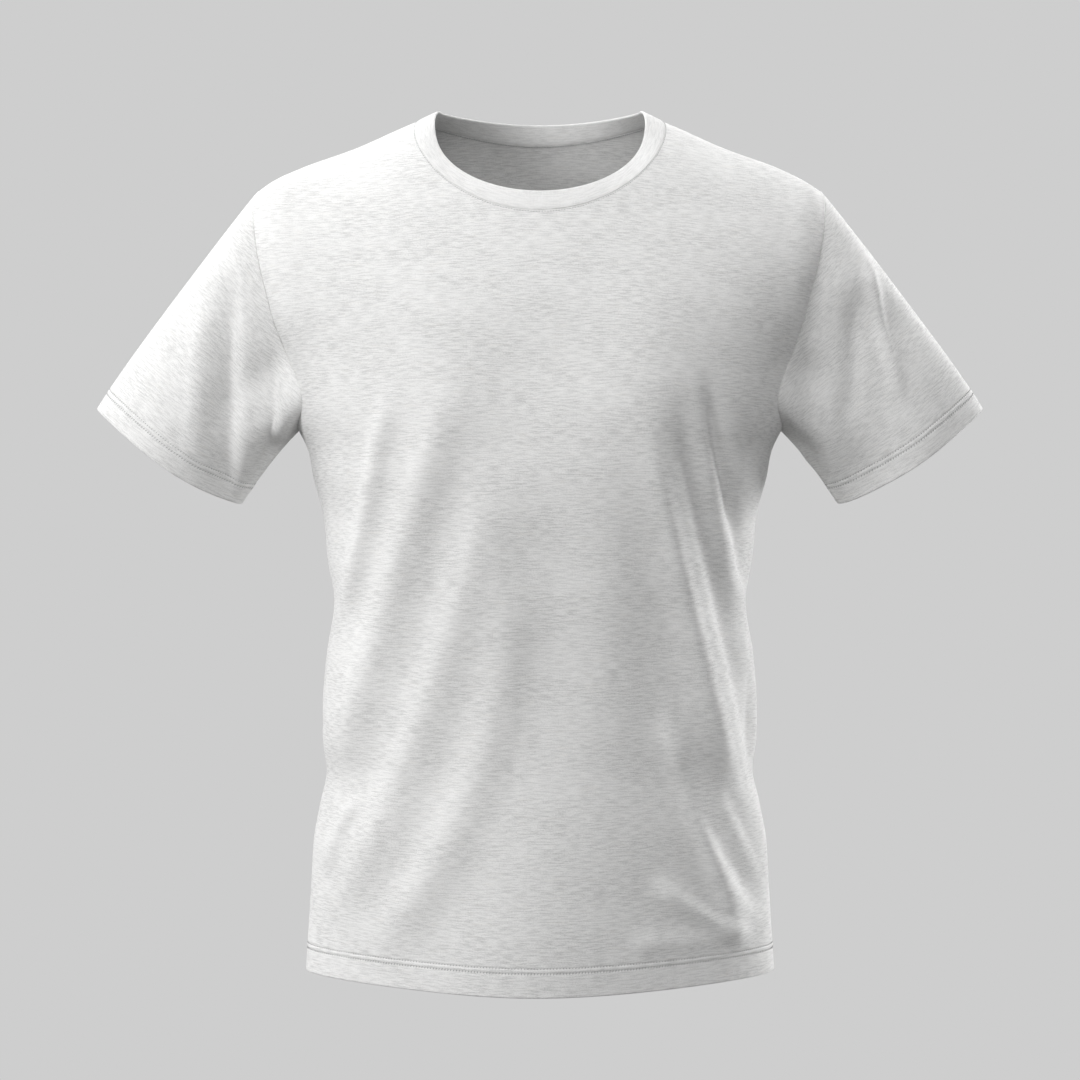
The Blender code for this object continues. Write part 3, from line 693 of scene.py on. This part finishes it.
half_turn = np.linspace(0, math.pi, NECK_LAST - NECK_FIRST, endpoint=False)
neck_turn = np.concatenate([QUARTER + half_turn, 3 * QUARTER + half_turn])
neck_seam = neck_ring(panel_points)
ahead = np.roll(neck_seam, -1, axis=0) - np.roll(neck_seam, 1, axis=0)
inward = unit(np.cross(ahead * [1, 1, 0], [0, 0, -1]))
band_rise = (inward * round_mix(BAND_REACH, "inward", neck_turn)[:, None]
             + round_mix(BAND_REACH, "rise", neck_turn)[:, None] * np.array([0, 0, 1]))
band_normal = unit(np.cross(ahead, band_rise))
neck_joint = seam_normals(unit(neck_ring(panel_normals)), band_normal)
write_neck_ring(wall, neck_joint)
print("the neck seam is", round(float(np.linalg.norm(ahead, axis=1).sum() / 2)), "mm round")


def band_grid():
    """The band's section from the seam up the outside, over the fold and down the inside."""
    top_half = float(column(BAND_SECTION, "half", BAND_ROUND))
    outside, inside = [], []
    for share in BAND_SHARES:
        half = float(column(BAND_SECTION, "half", share))
        middle = neck_seam + band_rise * share
        lean = neck_joint if share == 0 else band_normal
        outside.append(middle + lean * half)
        inside.append(middle - lean * half)
    for arc in BAND_ARC:
        middle = neck_seam + band_rise * (BAND_ROUND + (1 - BAND_ROUND) * math.sin(arc))
        outside.append(middle + band_normal * top_half * math.cos(arc))
        inside.append(middle - band_normal * top_half * math.cos(arc))
    outside.append(neck_seam + band_rise)
    return np.array(outside + inside[::-1])


band_points = band_grid()
round_neck = lengths_along(np.concatenate([neck_seam, neck_seam[:1]])[None], 1)
up_band = lengths_along(np.concatenate([band_points, band_points[:, :1]], axis=1), 0)
band_cloth = np.stack([np.broadcast_to(round_neck, up_band.shape), up_band], axis=-1)

# %% [markdown]
# ## From points to cloth
#
# Each grid of points becomes a closed shell: once outside and once inside, 1.2 mm apart. Where the
# edge is turned up there are two layers, so the inside lies deeper, and the edge itself is a half
# circle, because folded jersey has no sharp corner. A Solidify modifier could thicken a sheet as
# well, but it makes each edge square, and it can't turn one up.

# %% The shell of a piece
CLOTH = 1.2
TURN_UP = 2.2
FOLD_ARC = np.radians(180 / 7 * np.arange(1, 7))[:, None, None]
SHARP = math.radians(50)


def quads(rows, columns, wrapped):
    """Corners of each quad of a grid whose rows close to a ring, as pairs of row and column."""
    i, j = np.meshgrid(np.arange(rows), np.arange(columns if wrapped else columns - 1), indexing="ij")
    i, j = i.ravel(), j.ravel()
    corner_i = np.stack([i, i, (i + 1) % rows, (i + 1) % rows], axis=1)
    return corner_i, np.stack([j, j + 1, j + 1, j], axis=1)


def volume_of(points, faces):
    a, b, c, d = (points[faces[:, k]] for k in range(4))
    return float(np.sum(a * np.cross(b, c)) + np.sum(a * np.cross(c, d))) / 6


def add_piece(name, grid, cloth, wrapped, node):
    """A mesh from a grid whose rows run round the cloth's section, with its cloth coordinates."""
    rows, columns = grid.shape[:2]
    corner_i, corner_j = quads(rows, columns, wrapped)
    faces = corner_i * columns + corner_j % columns
    places = cloth[corner_i, corner_j]
    if not wrapped:
        i = np.arange(rows // 2 - 1)[:, None]
        ends = np.concatenate([i, i + 1, rows - 2 - i, rows - 1 - i], axis=1)
        ends_j = np.array([[0] * 4] * len(i) + [[columns - 1] * 4] * len(i))
        ends = np.concatenate([ends, ends[:, ::-1]])
        faces = np.concatenate([faces, ends * columns + ends_j])
        places = np.concatenate([places, cloth[ends, ends_j]])
    points = grid.reshape(-1, 3) * MM
    if volume_of(points, faces) < 0:
        faces, places = faces[:, ::-1], places[:, ::-1]
    mesh = bpy.data.meshes.new(name)
    mesh.from_pydata(points.tolist(), [], faces.tolist())
    mesh.shade_smooth()
    mesh.set_sharp_from_angle(angle=SHARP)
    mesh.uv_layers.new(name="Cloth").data.foreach_set("uv", (places * MM).astype(np.float32).ravel())
    piece = bpy.data.objects.new(name, mesh)
    bpy.context.scene.collection.objects.link(piece)
    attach(piece, "root")
    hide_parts(node)
    print(name, len(faces) * 2, "triangles")
    return piece


def shell(points, normals, lift, layers):
    """Down the outside of a grid to the turned edge in its last row, and up the inside."""
    outside = points + normals * (CLOTH / 2 + lift)[..., None]
    inside = points - normals * (layers - CLOTH / 2)[..., None]
    down = unit(points[-1] - points[-2])
    middle = (outside[-1] + inside[-1]) / 2
    radius = np.linalg.norm(outside[-1] - inside[-1], axis=-1, keepdims=True) / 2
    arc = middle + radius * (unit(normals[-1]) * np.cos(FOLD_ARC) + down * np.sin(FOLD_ARC))
    return np.concatenate([outside, arc, inside[::-1]])


def shell_cloth(cloth):
    """The cloth coordinates of a shell: the inside has its own, mirrored at the edge."""
    turned = cloth * [1, -1]
    arc = cloth[-1] + (turned[-1] - cloth[-1]) * FOLD_ARC / math.pi
    return np.concatenate([cloth, arc, turned[::-1]])


# %% [markdown]
# ## Seams and turned-up edges
#
# A sewn seam pulls both pieces down into a fine groove. Beside an armhole the seam allowance is
# pressed towards the body and lifts it in a small ridge. Two rows of stitches hold the hem and each
# cuff, and each row presses a shallow line into the soft double cloth. These are tenths of a
# millimetre, but light from the side finds them, and without them the shirt looks moulded.

# %% Relief along seams and stitches
SEAM_SINK, SEAM_HALF = 0.55, 0.6
RIDGE, RIDGE_AT, RIDGE_HALF = 0.38, 1.7, 0.7
ROW_SINK, ROW_HALF = 0.38, 0.65
TUNNEL, TUNNEL_HALF = 0.22, 1.1     # the cloth swells between the two rows
NECK_ROW, NECK_ROW_HALF = 1.7, 0.5  # the row of stitches below the neck seam
NECK_SEAM_SHARE = 0.6               # the neck and shoulder seams sink less than the others,
NECK_ROW_SHARE = 0.5                # and the neck's row less than the hem's rows
TURN_UP_EASE = 2.2                  # the double cloth thins out over the last stretch past its rows
RIDGE_RISE = 0.1                    # the ridge rises over this share of the armhole


def bell(distance, half):
    return np.exp(-(distance / half) ** 2)


def two_rows(from_edge, rows):
    between = (rows[0] + rows[1]) / 2
    return (TUNNEL * bell(from_edge - between, TUNNEL_HALF)
            - ROW_SINK * (bell(from_edge - rows[0], ROW_HALF) + bell(from_edge - rows[1], ROW_HALF)))


def layers_of(from_edge, depth):
    return CLOTH + (TURN_UP - CLOTH) * ease(depth + TURN_UP_EASE - from_edge)


def far(points, start):
    return np.linalg.norm(points - start, axis=-1)


def panel_lift(side):
    points, along = panel_points[side], row
    from_left, from_right = far(points, points[:, :1]), far(points, points[:, -1:])
    from_side = np.minimum(from_left, from_right)
    from_top = far(points, points[-1:])
    neck = np.abs(across) < NECK_SHARE
    lift = -SEAM_SINK * np.maximum(bell(from_side, SEAM_HALF), NECK_SEAM_SHARE * bell(from_top, SEAM_HALF))
    lift = lift + RIDGE * bell(from_side - RIDGE_AT, RIDGE_HALF) * ease((along - 1) / RIDGE_RISE)
    lift = lift - NECK_ROW_SHARE * ROW_SINK * bell(from_top - NECK_ROW, NECK_ROW_HALF) * neck
    return lift + two_rows(along * LOW_LENGTH, HEM_ROWS)


# %% [markdown]
# ## The front and the back
#
# Both panels are now built. The grid's rows are turned over, since the shell wants its folded edge
# last, and here that is the hem.

# %% Build the front and the back
panels = {}
for side, name in ((FRONT, "front_panel"), (BACK, "back_panel")):
    layers = layers_of(row * LOW_LENGTH, HEM_ROWS[1])
    grid = shell(panel_points[side][::-1], wall[side][::-1], panel_lift(side)[::-1], layers[::-1])
    node = "body_front" if side == FRONT else "body_back"
    panels[side] = add_piece(name, grid, shell_cloth(panel_cloth[side][::-1]), False, node)

# %% [markdown]
# ## The sleeves and the band
#
# A sleeve is the same kind of shell, closed to a tube, with its folded edge at the cuff. The band's
# section is closed already, so its grid goes straight to a mesh.

# %% Build the sleeves and the band
sleeves = {}
for hand, side_name in ((RIGHT, "right"), (LEFT, "left")):
    points, normals = sleeve_points[hand], sleeve_walls[hand]
    from_cuff = sleeve_cloth[hand][:, :-1, 1]
    lift = -SEAM_SINK * bell(far(points, points[:1]), SEAM_HALF)
    lift = lift - SEAM_SINK * bell(far(points, points[:, :1]), SEAM_HALF)
    lift = lift + two_rows(from_cuff, CUFF_ROWS)
    grid = shell(points, normals, lift, layers_of(from_cuff, CUFF_ROWS[1]))
    sleeves[hand] = add_piece("sleeve_cloth_" + side_name, grid, shell_cloth(sleeve_cloth[hand]),
                              True, "sleeve_" + side_name)

band = add_piece("rib_band", band_points, band_cloth, True, "neck_band")

# %% [markdown]
# ## Stitches
#
# The hem and the cuffs are sewn with two slanting rows, and the band's seam is held down by one fine
# row. At arm's length they are only a texture, but they say that this is a sewn thing. Each stitch is
# a short thread that comes out of the cloth and goes back in, so it is modelled as a thin rod with
# its ends bent down. All stitches of one edge are one mesh. Real stitches lie closer, under 2 mm
# apart. These are spaced wider, and their thread is darker, so that single ones show: the dark grey
# is painted shade, for the shadows between the stitches and in their needle holes.

# %% Sew
Stitch = namedtuple("Stitch", "pitch length thick slant")   # slant in degrees from the row
LOW_STITCH = Stitch(2.6, 2.6, 0.5, 66)                      # the row nearer the edge
HIGH_STITCH = Stitch(2.6, 1.5, 0.52, 60)
NECK_STITCH = Stitch(2.3, 1.3, 0.5, 12)
INNER_STITCH = Stitch(2.3, 1.7, 0.8, 8)
ROD_ALONG = np.array([-0.5, -0.36, 0.0, 0.36, 0.5])
ROD_THICK = np.array([0.35, 0.9, 1.0, 0.9, 0.35])
ROD_LIFT = np.array([-0.55, 0.0, 0.3, 0.0, -0.55])
ROD_SIDES = 6
EDGE_LIFT = -0.2                    # threads over the unpressed cloth: at the hem and the cuffs,
NECK_LIFT = -0.05                   # below the neck seam outside,
INNER_LIFT = 0.25                   # and inside, where the row lies closer to the seam
INNER_ROW = 1.4
AHEAD = 0.8                         # a row's direction is taken this far before and after a stitch


def at_distance(values, distances, wanted):
    """In each column of a grid, the value where the distance is the wanted one."""
    here = []
    for j in range(distances.shape[1]):
        order = np.argsort(distances[:, j])
        here.append([np.interp(wanted, distances[order, j], values[order, j, k]) for k in range(3)])
    return np.array(here)


def sew(name, rows_of_stitches):
    """One mesh of all stitches; each row is a closed line, its normals and the kind of stitch."""
    vertices, faces = [], []
    angles = np.arange(ROD_SIDES) / ROD_SIDES * 2 * math.pi
    for line, normals, kind in rows_of_stitches:
        loop, loop_normals = (np.concatenate([v, v[:1]]) for v in (line, normals))
        travelled = lengths_along(loop[None], 1)[0]
        count = round(travelled[-1] / kind.pitch)
        at = (np.arange(count) + 0.5) * travelled[-1] / count
        centre, normal, before, after = (
            np.stack([np.interp(where, travelled, v[:, k]) for k in range(3)], axis=1)
            for where, v in ((at, loop), (at, loop_normals), (at - AHEAD, loop), (at + AHEAD, loop)))
        normal, ahead = unit(normal), unit(after - before)
        aside = unit(np.cross(normal, ahead))
        slant = math.radians(kind.slant)
        ahead, aside = (ahead * math.cos(slant) + aside * math.sin(slant),
                        aside * math.cos(slant) - ahead * math.sin(slant))
        radius = kind.thick / 2
        for k in range(count):
            first = len(vertices)
            for share, thick, lift in zip(ROD_ALONG, ROD_THICK, ROD_LIFT):
                ring = (centre[k] + ahead[k] * kind.length * share
                        + radius * thick * (np.cos(angles)[:, None] * aside[k]
                                            + np.sin(angles)[:, None] * normal[k])
                        + normal[k] * lift * kind.thick)
                vertices.extend(ring)
            for r in range(len(ROD_ALONG) - 1):
                for s in range(ROD_SIDES):
                    a, b = first + r * ROD_SIDES + s, first + r * ROD_SIDES + (s + 1) % ROD_SIDES
                    faces.append((a, b, b + ROD_SIDES, a + ROD_SIDES))
            faces.append(tuple(first + s for s in range(ROD_SIDES))[::-1])
            faces.append(tuple(first + (len(ROD_ALONG) - 1) * ROD_SIDES + s for s in range(ROD_SIDES)))
    mesh = bpy.data.meshes.new(name)
    mesh.from_pydata((np.array(vertices) * MM).tolist(), [], faces)
    mesh.shade_smooth()
    piece = bpy.data.objects.new(name, mesh)
    bpy.context.scene.collection.objects.link(piece)
    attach(piece, "root")
    print(name, len(vertices) // (ROD_SIDES * len(ROD_ALONG)), "stitches")
    return piece


def round_body(rows_at, lift):
    """A closed line round both panels at a distance from the hem, on the outside."""
    lines, directions = [], []
    for side in (FRONT, BACK):
        out = panel_points[side] + wall[side] * (CLOTH / 2 + lift)
        distance = row * LOW_LENGTH
        line, normal = (at_distance(v, distance, rows_at) for v in (out, wall[side]))
        step = 1 if side == FRONT else -1
        lines.append(line[::step][:-1])
        directions.append(normal[::step][:-1])
    return np.concatenate(lines), np.concatenate(directions)


def round_sleeve(hand, rows_at, lift):
    distance = sleeve_cloth[hand][:, :-1, 1]
    out = sleeve_points[hand] + sleeve_walls[hand] * (CLOTH / 2 + lift)
    return (at_distance(out, distance, rows_at), at_distance(sleeve_walls[hand], distance, rows_at))


def round_neck_row(distance, outwards, lift):
    """A closed line on the body's side of the neck seam, outside (1) or inside (-1)."""
    lines, directions = [], []
    for side in (FRONT, BACK):
        part = slice(NECK_FIRST, NECK_LAST + 1)
        points, normals = panel_points[side][:, part], wall[side][:, part]
        surface = points + outwards * normals * (CLOTH / 2 + lift)
        from_top = far(points, points[-1:])
        step = 1 if side == FRONT else -1
        lines.append(at_distance(surface, from_top, distance)[::step][:-1])
        directions.append(outwards * at_distance(normals, from_top, distance)[::step][:-1])
    return np.concatenate(lines), np.concatenate(directions)


EDGE_STITCHES = (LOW_STITCH, HIGH_STITCH)
hem_thread = sew("hem_stitches", [(*round_body(r, EDGE_LIFT), kind)
                                  for r, kind in zip(HEM_ROWS, EDGE_STITCHES)])
cuff_threads = {}
for hand, side_name in ((RIGHT, "right"), (LEFT, "left")):
    cuff_threads[hand] = sew("cuff_stitches_" + side_name,
                             [(*round_sleeve(hand, r, EDGE_LIFT), kind)
                              for r, kind in zip(CUFF_ROWS, EDGE_STITCHES)])
neck_thread = sew("neck_stitches", [(*round_neck_row(NECK_ROW, 1, NECK_LIFT), NECK_STITCH),
                                    (*round_neck_row(INNER_ROW, -1, INNER_LIFT), INNER_STITCH)])

# %% [markdown]
# ## Shader maths in plain Python
#
# A material's pattern is a sum of simple ones. Written as Python it reads like the sum it is, so a
# small class wraps a socket, and adding, taking away or multiplying two of them adds the Math node
# for it.

# %% A socket to calculate with
class Value:
    """An output socket in a node tree. Any other node is made with node()."""

    def __init__(self, tree, socket=None):
        self.tree, self.socket = tree, socket

    def node(self, kind, settings=None, sockets=None, out=0):
        made = self.tree.nodes.new(kind)
        for name, setting in (settings or {}).items():
            setattr(made, name, setting)
        for name, value in (sockets or {}).items():
            if isinstance(value, Value):
                self.tree.links.new(value.socket, made.inputs[name])
            else:
                made.inputs[name].default_value = value
        return Value(self.tree, made.outputs[out]) if made.outputs else made

    def maths(self, operation, *values):
        return self.node("ShaderNodeMath", {"operation": operation}, dict(enumerate(values)))

    def __add__(self, other):
        return self.maths("ADD", self, other)

    def __sub__(self, other):
        return self.maths("SUBTRACT", self, other)

    def __rsub__(self, other):
        return self.maths("SUBTRACT", other, self)

    def __mul__(self, other):
        return self.maths("MULTIPLY", self, other)

    __radd__, __rmul__ = __add__, __mul__


def new_material(name):
    material = bpy.data.materials.new(name)
    material.use_nodes = True
    return material, Value(material.node_tree), material.node_tree.nodes["Principled BSDF"]


def finish_material(shader, fixed, linked):
    """Sets numbers and links values on the shader's own sockets."""
    tree = next(iter(linked.values())).tree
    for name, value in fixed.items():
        shader.inputs[name].default_value = value
    for name, value in linked.items():
        tree.links.new(value.socket, shader.inputs[name])


# %% [markdown]
# ## Heather jersey
#
# Heather yarn is spun from fibres of slightly different whites and greys. Knitted up, each shade
# stays in its yarn for a centimetre or so, and gives short level streaks, a loop high. So the pattern
# is noise, drawn out ten times along the rows of loops, in two sizes, under a slow cloudiness. The
# streaks are faint: a few parts in a hundred. The loops themselves are only a very fine bump.

# %% The jersey material
WHITE = (0.93, 0.928, 0.92, 1)
GREY = (0.54, 0.54, 0.535, 1)
WARM = (0.80, 0.775, 0.73, 1)


def cloth_place(start):
    return start.node("ShaderNodeUVMap", {"uv_map": "Cloth"})


def drawn_noise(place, along, up, detail=2.0, shift=0.0):
    """Noise with cells of 1/along by 1/up metres."""
    scaled = place.node("ShaderNodeVectorMath", {"operation": "MULTIPLY_ADD"},
                        {0: place, 1: (along, up, 0), 2: (shift, shift, shift)})
    return place.node("ShaderNodeTexNoise", {"noise_dimensions": "2D"},
                      {"Vector": scaled, "Scale": 1.0, "Detail": detail, "Roughness": 0.55})


def stretch(value, low, high):
    """0 at low, 1 at high, smooth between."""
    return value.node("ShaderNodeMapRange", {"interpolation_type": "SMOOTHSTEP"},
                      {"Value": value, "From Min": low, "From Max": high})


def blend(amount, one, other):
    """From one colour to the other; this node's sockets are picked by number, since names repeat."""
    return amount.node("ShaderNodeMix", {"data_type": "RGBA"}, {0: amount, 6: one, 7: other}, out=2)


def heather(place, strength, tone=0.0):
    """Colour and height of the yarn's streaks."""
    streaks = drawn_noise(place, 94, 820, 3.0)
    fibres = drawn_noise(place, 900, 1500, 2.0, 7.3)
    clouds = drawn_noise(place, 17, 38, 2.0, 3.1)
    patches = drawn_noise(place, 60, 260, 2.0, 11.7)
    dark = stretch(streaks, 0.34, 0.72) * 0.60 + stretch(fibres, 0.34, 0.70) * 0.46
    dark = dark * (stretch(clouds, 0.30, 0.66) * 0.30 + 0.72) + stretch(patches, 0.45, 0.75) * 0.07
    colour = blend(dark * strength + tone, WHITE, GREY)
    warm = stretch(drawn_noise(place, 40, 300, 2.0, 23.9), 0.60, 0.78)
    return blend(warm * 0.16, colour, WARM), dark


def knit_loops(place):
    """Height of the loops: fine noise, since single loops are smaller than the eye resolves here."""
    return drawn_noise(place, 1500, 1100, 1.0, 1.7)


def jersey_material(name, strength):
    material, start, shader = new_material(name)
    place = cloth_place(start)
    colour, dark = heather(place, strength)
    height = knit_loops(place) * 0.6 + (1 - dark) * 0.5 + drawn_noise(place, 60, 420, 2.0, 5.5) * 0.5
    normal = start.node("ShaderNodeBump", {}, {"Strength": 0.6, "Distance": 0.00022, "Height": height})
    rough = 0.86 + drawn_noise(place, 120, 500, 1.0, 2.2) * 0.12
    finish_material(shader, {"Sheen Weight": 0.2, "Sheen Roughness": 0.5, "Specular IOR Level": 0.25},
                    {"Base Color": colour, "Normal": normal, "Roughness": rough})
    return material


jersey = jersey_material("heather jersey", 0.80)
print("jersey:", len(jersey.node_tree.nodes), "nodes")

# %% [markdown]
# ## Rib and thread
#
# Rib is knitted with fine ridges that run across the band, so that it springs back. They are about a
# millimetre apart: a soft wave along the band, in the bump alone. The sewing thread is smooth, and its
# grey is partly its own and partly painted shade: it is darker than the cloth for the shadows between
# the stitches and in their needle holes. Its twist is a slight change of tone.

# %% The rib and thread materials
RIB_PITCH = 0.0012


RIB_TONE = 0.12                     # grey that lies evenly under the rib's streaks


def rib_material():
    material, start, shader = new_material("rib")
    place = cloth_place(start)
    colour, dark = heather(place, 0.5, RIB_TONE)
    along = place.node("ShaderNodeSeparateXYZ", {}, {0: place}, out="X")
    wobble = drawn_noise(place, 90, 90, 1.0, 4.4)
    phase = along * (2 * math.pi / RIB_PITCH) + wobble * 4.0
    height = phase.maths("SINE", phase) * 0.3 + (1 - dark) * 0.4 + knit_loops(place) * 0.5
    normal = start.node("ShaderNodeBump", {}, {"Strength": 0.6, "Distance": 0.00022, "Height": height})
    rough = 0.86 + drawn_noise(place, 120, 500, 1.0, 2.2) * 0.12
    finish_material(shader, {"Sheen Weight": 0.2, "Sheen Roughness": 0.5, "Specular IOR Level": 0.25},
                    {"Base Color": colour, "Normal": normal, "Roughness": rough})
    return material


def thread_material():
    material, start, shader = new_material("thread")
    place = start.node("ShaderNodeTexCoord", out="Object")
    twist = start.node("ShaderNodeTexNoise", {}, {"Vector": place, "Scale": 900.0, "Detail": 1.0})
    # the thread's dark grey is partly painted shade, for the shadows between the stitches and in their needle
    # holes
    colour = blend(stretch(twist, 0.3, 0.7), (0.34, 0.34, 0.345, 1), (0.46, 0.46, 0.46, 1))
    finish_material(shader, {"Sheen Weight": 0.1, "Specular IOR Level": 0.3},
                    {"Base Color": colour, "Roughness": 0.6 + twist * 0.15})
    return material


rib, thread = rib_material(), thread_material()
for piece in (*panels.values(), *sleeves.values()):
    piece.data.materials.append(jersey)
band.data.materials.append(rib)
for piece in (hem_thread, neck_thread, *cuff_threads.values()):
    piece.data.materials.append(thread)

# %% [markdown]
# ## How each piece was cut
#
# Cloth hardly stretches, so a worn piece keeps the area that it was cut to. The widths and lengths
# here are the flat sizes of what shows, measured along the cloth, without the seam allowances. They
# are read off the worn form above, since there is no real pattern to go by.

def area_of(points, wrapped=False):
    if wrapped:
        points = np.concatenate([points, points[:, :1]], axis=1)
    a, b, c, d = points[:-1, :-1], points[:-1, 1:], points[1:, 1:], points[1:, :-1]
    total = np.linalg.norm(np.cross(b - a, c - a), axis=-1) + np.linalg.norm(np.cross(c - a, d - a), axis=-1)
    return float(total.sum()) / 2 * MM * MM


for side, name in ((FRONT, "front"), (BACK, "back")):
    print(name, "area", round(area_of(panel_points[side]), 4), "width",
          np.ptp(panel_cloth[side][..., 0]).round(), "length", np.ptp(panel_cloth[side][..., 1]).round())
for hand, name in ((RIGHT, "right"), (LEFT, "left")):
    print(name, "area", round(area_of(sleeve_points[hand], True), 4), "round",
          np.ptp(sleeve_cloth[hand][0, :, 0]).round(), "length", sleeve_cloth[hand][..., 1].max().round())
print("band area", area_of(band_points, True), "round", round_neck.max().round(), "up", up_band.max().round())

# %% [markdown]
# ## The studio
#
# A pale bowl stands round the shirt: a floor that turns up into a wall all round, so that no corner
# shows from any side. It glows evenly, as a well lit backdrop does, and takes no part in lighting the
# shirt. One broad key light comes from the upper left in front and draws the folds. Soft suns fill it
# from the front and the top and reach round both sides from behind, where they draw the edges, and
# the room gives a little from everywhere.

# %% Backdrop and light
BACKDROP = 0.617                    # the pale grey of the backdrop, as light
ROOM_LIGHT = 0.13
FLOOR_Z, BOWL_RADIUS, COVE, BOWL_TOP = -1.15, 6.0, 1.6, 6.0


def bowl():
    rounds = np.radians(np.linspace(0, 90, 13))
    profile = [(0.0, FLOOR_Z), (BOWL_RADIUS - COVE, FLOOR_Z)]
    profile += [(BOWL_RADIUS - COVE + COVE * math.sin(a), FLOOR_Z + COVE - COVE * math.cos(a))
                for a in rounds[1:]]
    profile.append((BOWL_RADIUS, BOWL_TOP))
    steps = 96
    vertices = [(r * math.cos(k / steps * 2 * math.pi), r * math.sin(k / steps * 2 * math.pi), z)
                for r, z in profile[1:] for k in range(steps)]
    faces = [tuple(range(steps))]
    for i in range(len(profile) - 2):
        for k in range(steps):
            a, b = i * steps + k, i * steps + (k + 1) % steps
            faces.append((a, b, b + steps, a + steps))
    mesh = bpy.data.meshes.new("backdrop")
    mesh.from_pydata(vertices, [], faces)
    mesh.shade_smooth()
    return bpy.data.objects.new("backdrop", mesh)


backdrop = bowl()
bpy.context.scene.collection.objects.link(backdrop)
paper = bpy.data.materials.new("backdrop paper")
paper.use_nodes = True
paper_shader = paper.node_tree.nodes["Principled BSDF"]
paper_shader.inputs["Base Color"].default_value = (0, 0, 0, 1)
paper_shader.inputs["Specular IOR Level"].default_value = 0
paper_shader.inputs["Emission Color"].default_value = (BACKDROP, BACKDROP, BACKDROP, 1)
paper_shader.inputs["Emission Strength"].default_value = 1
backdrop.data.materials.append(paper)
backdrop.visible_diffuse = False
backdrop.visible_glossy = False
backdrop.visible_shadow = False

scene = bpy.context.scene
scene.view_settings.view_transform = "Standard"
scene.world = scene.world or bpy.data.worlds.new("room")
scene.world.use_nodes = True
room = scene.world.node_tree.nodes["Background"]
room.inputs["Color"].default_value = (1, 1, 1, 1)
room.inputs["Strength"].default_value = ROOM_LIGHT


def aimed(name, light, towards):
    """Links a light that shines from the direction towards."""
    lamp = bpy.data.objects.new(name, light)
    lamp.rotation_euler = Vector(towards).to_track_quat("Z", "Y").to_euler()
    scene.collection.objects.link(lamp)
    return lamp


def soft_sun(name, towards, strength, spread):
    light = bpy.data.lights.new(name, "SUN")
    light.energy, light.angle = strength, math.radians(spread)
    return aimed(name, light, towards)


def soft_box(name, place, aim, power, size):
    light = bpy.data.lights.new(name, "AREA")
    light.shape, light.size, light.energy = "DISK", size, power
    lamp = aimed(name, light, Vector(place) - Vector(aim))
    lamp.location = place
    lamp.visible_camera = False
    return lamp


soft_box("key", (-2.0, -1.6, 0.5), (0, 0, -0.35), 39, 1.2)
soft_sun("front", (0.2, -1.0, 0.3), 0.95, 50)
soft_sun("left edge", (-1.0, 0.3, 0.1), 1.25, 40)
soft_sun("right edge", (0.85, 0.5, 0.0), 2.6, 28)
soft_sun("top", (0.0, 0.22, 1.0), 2.75, 60)
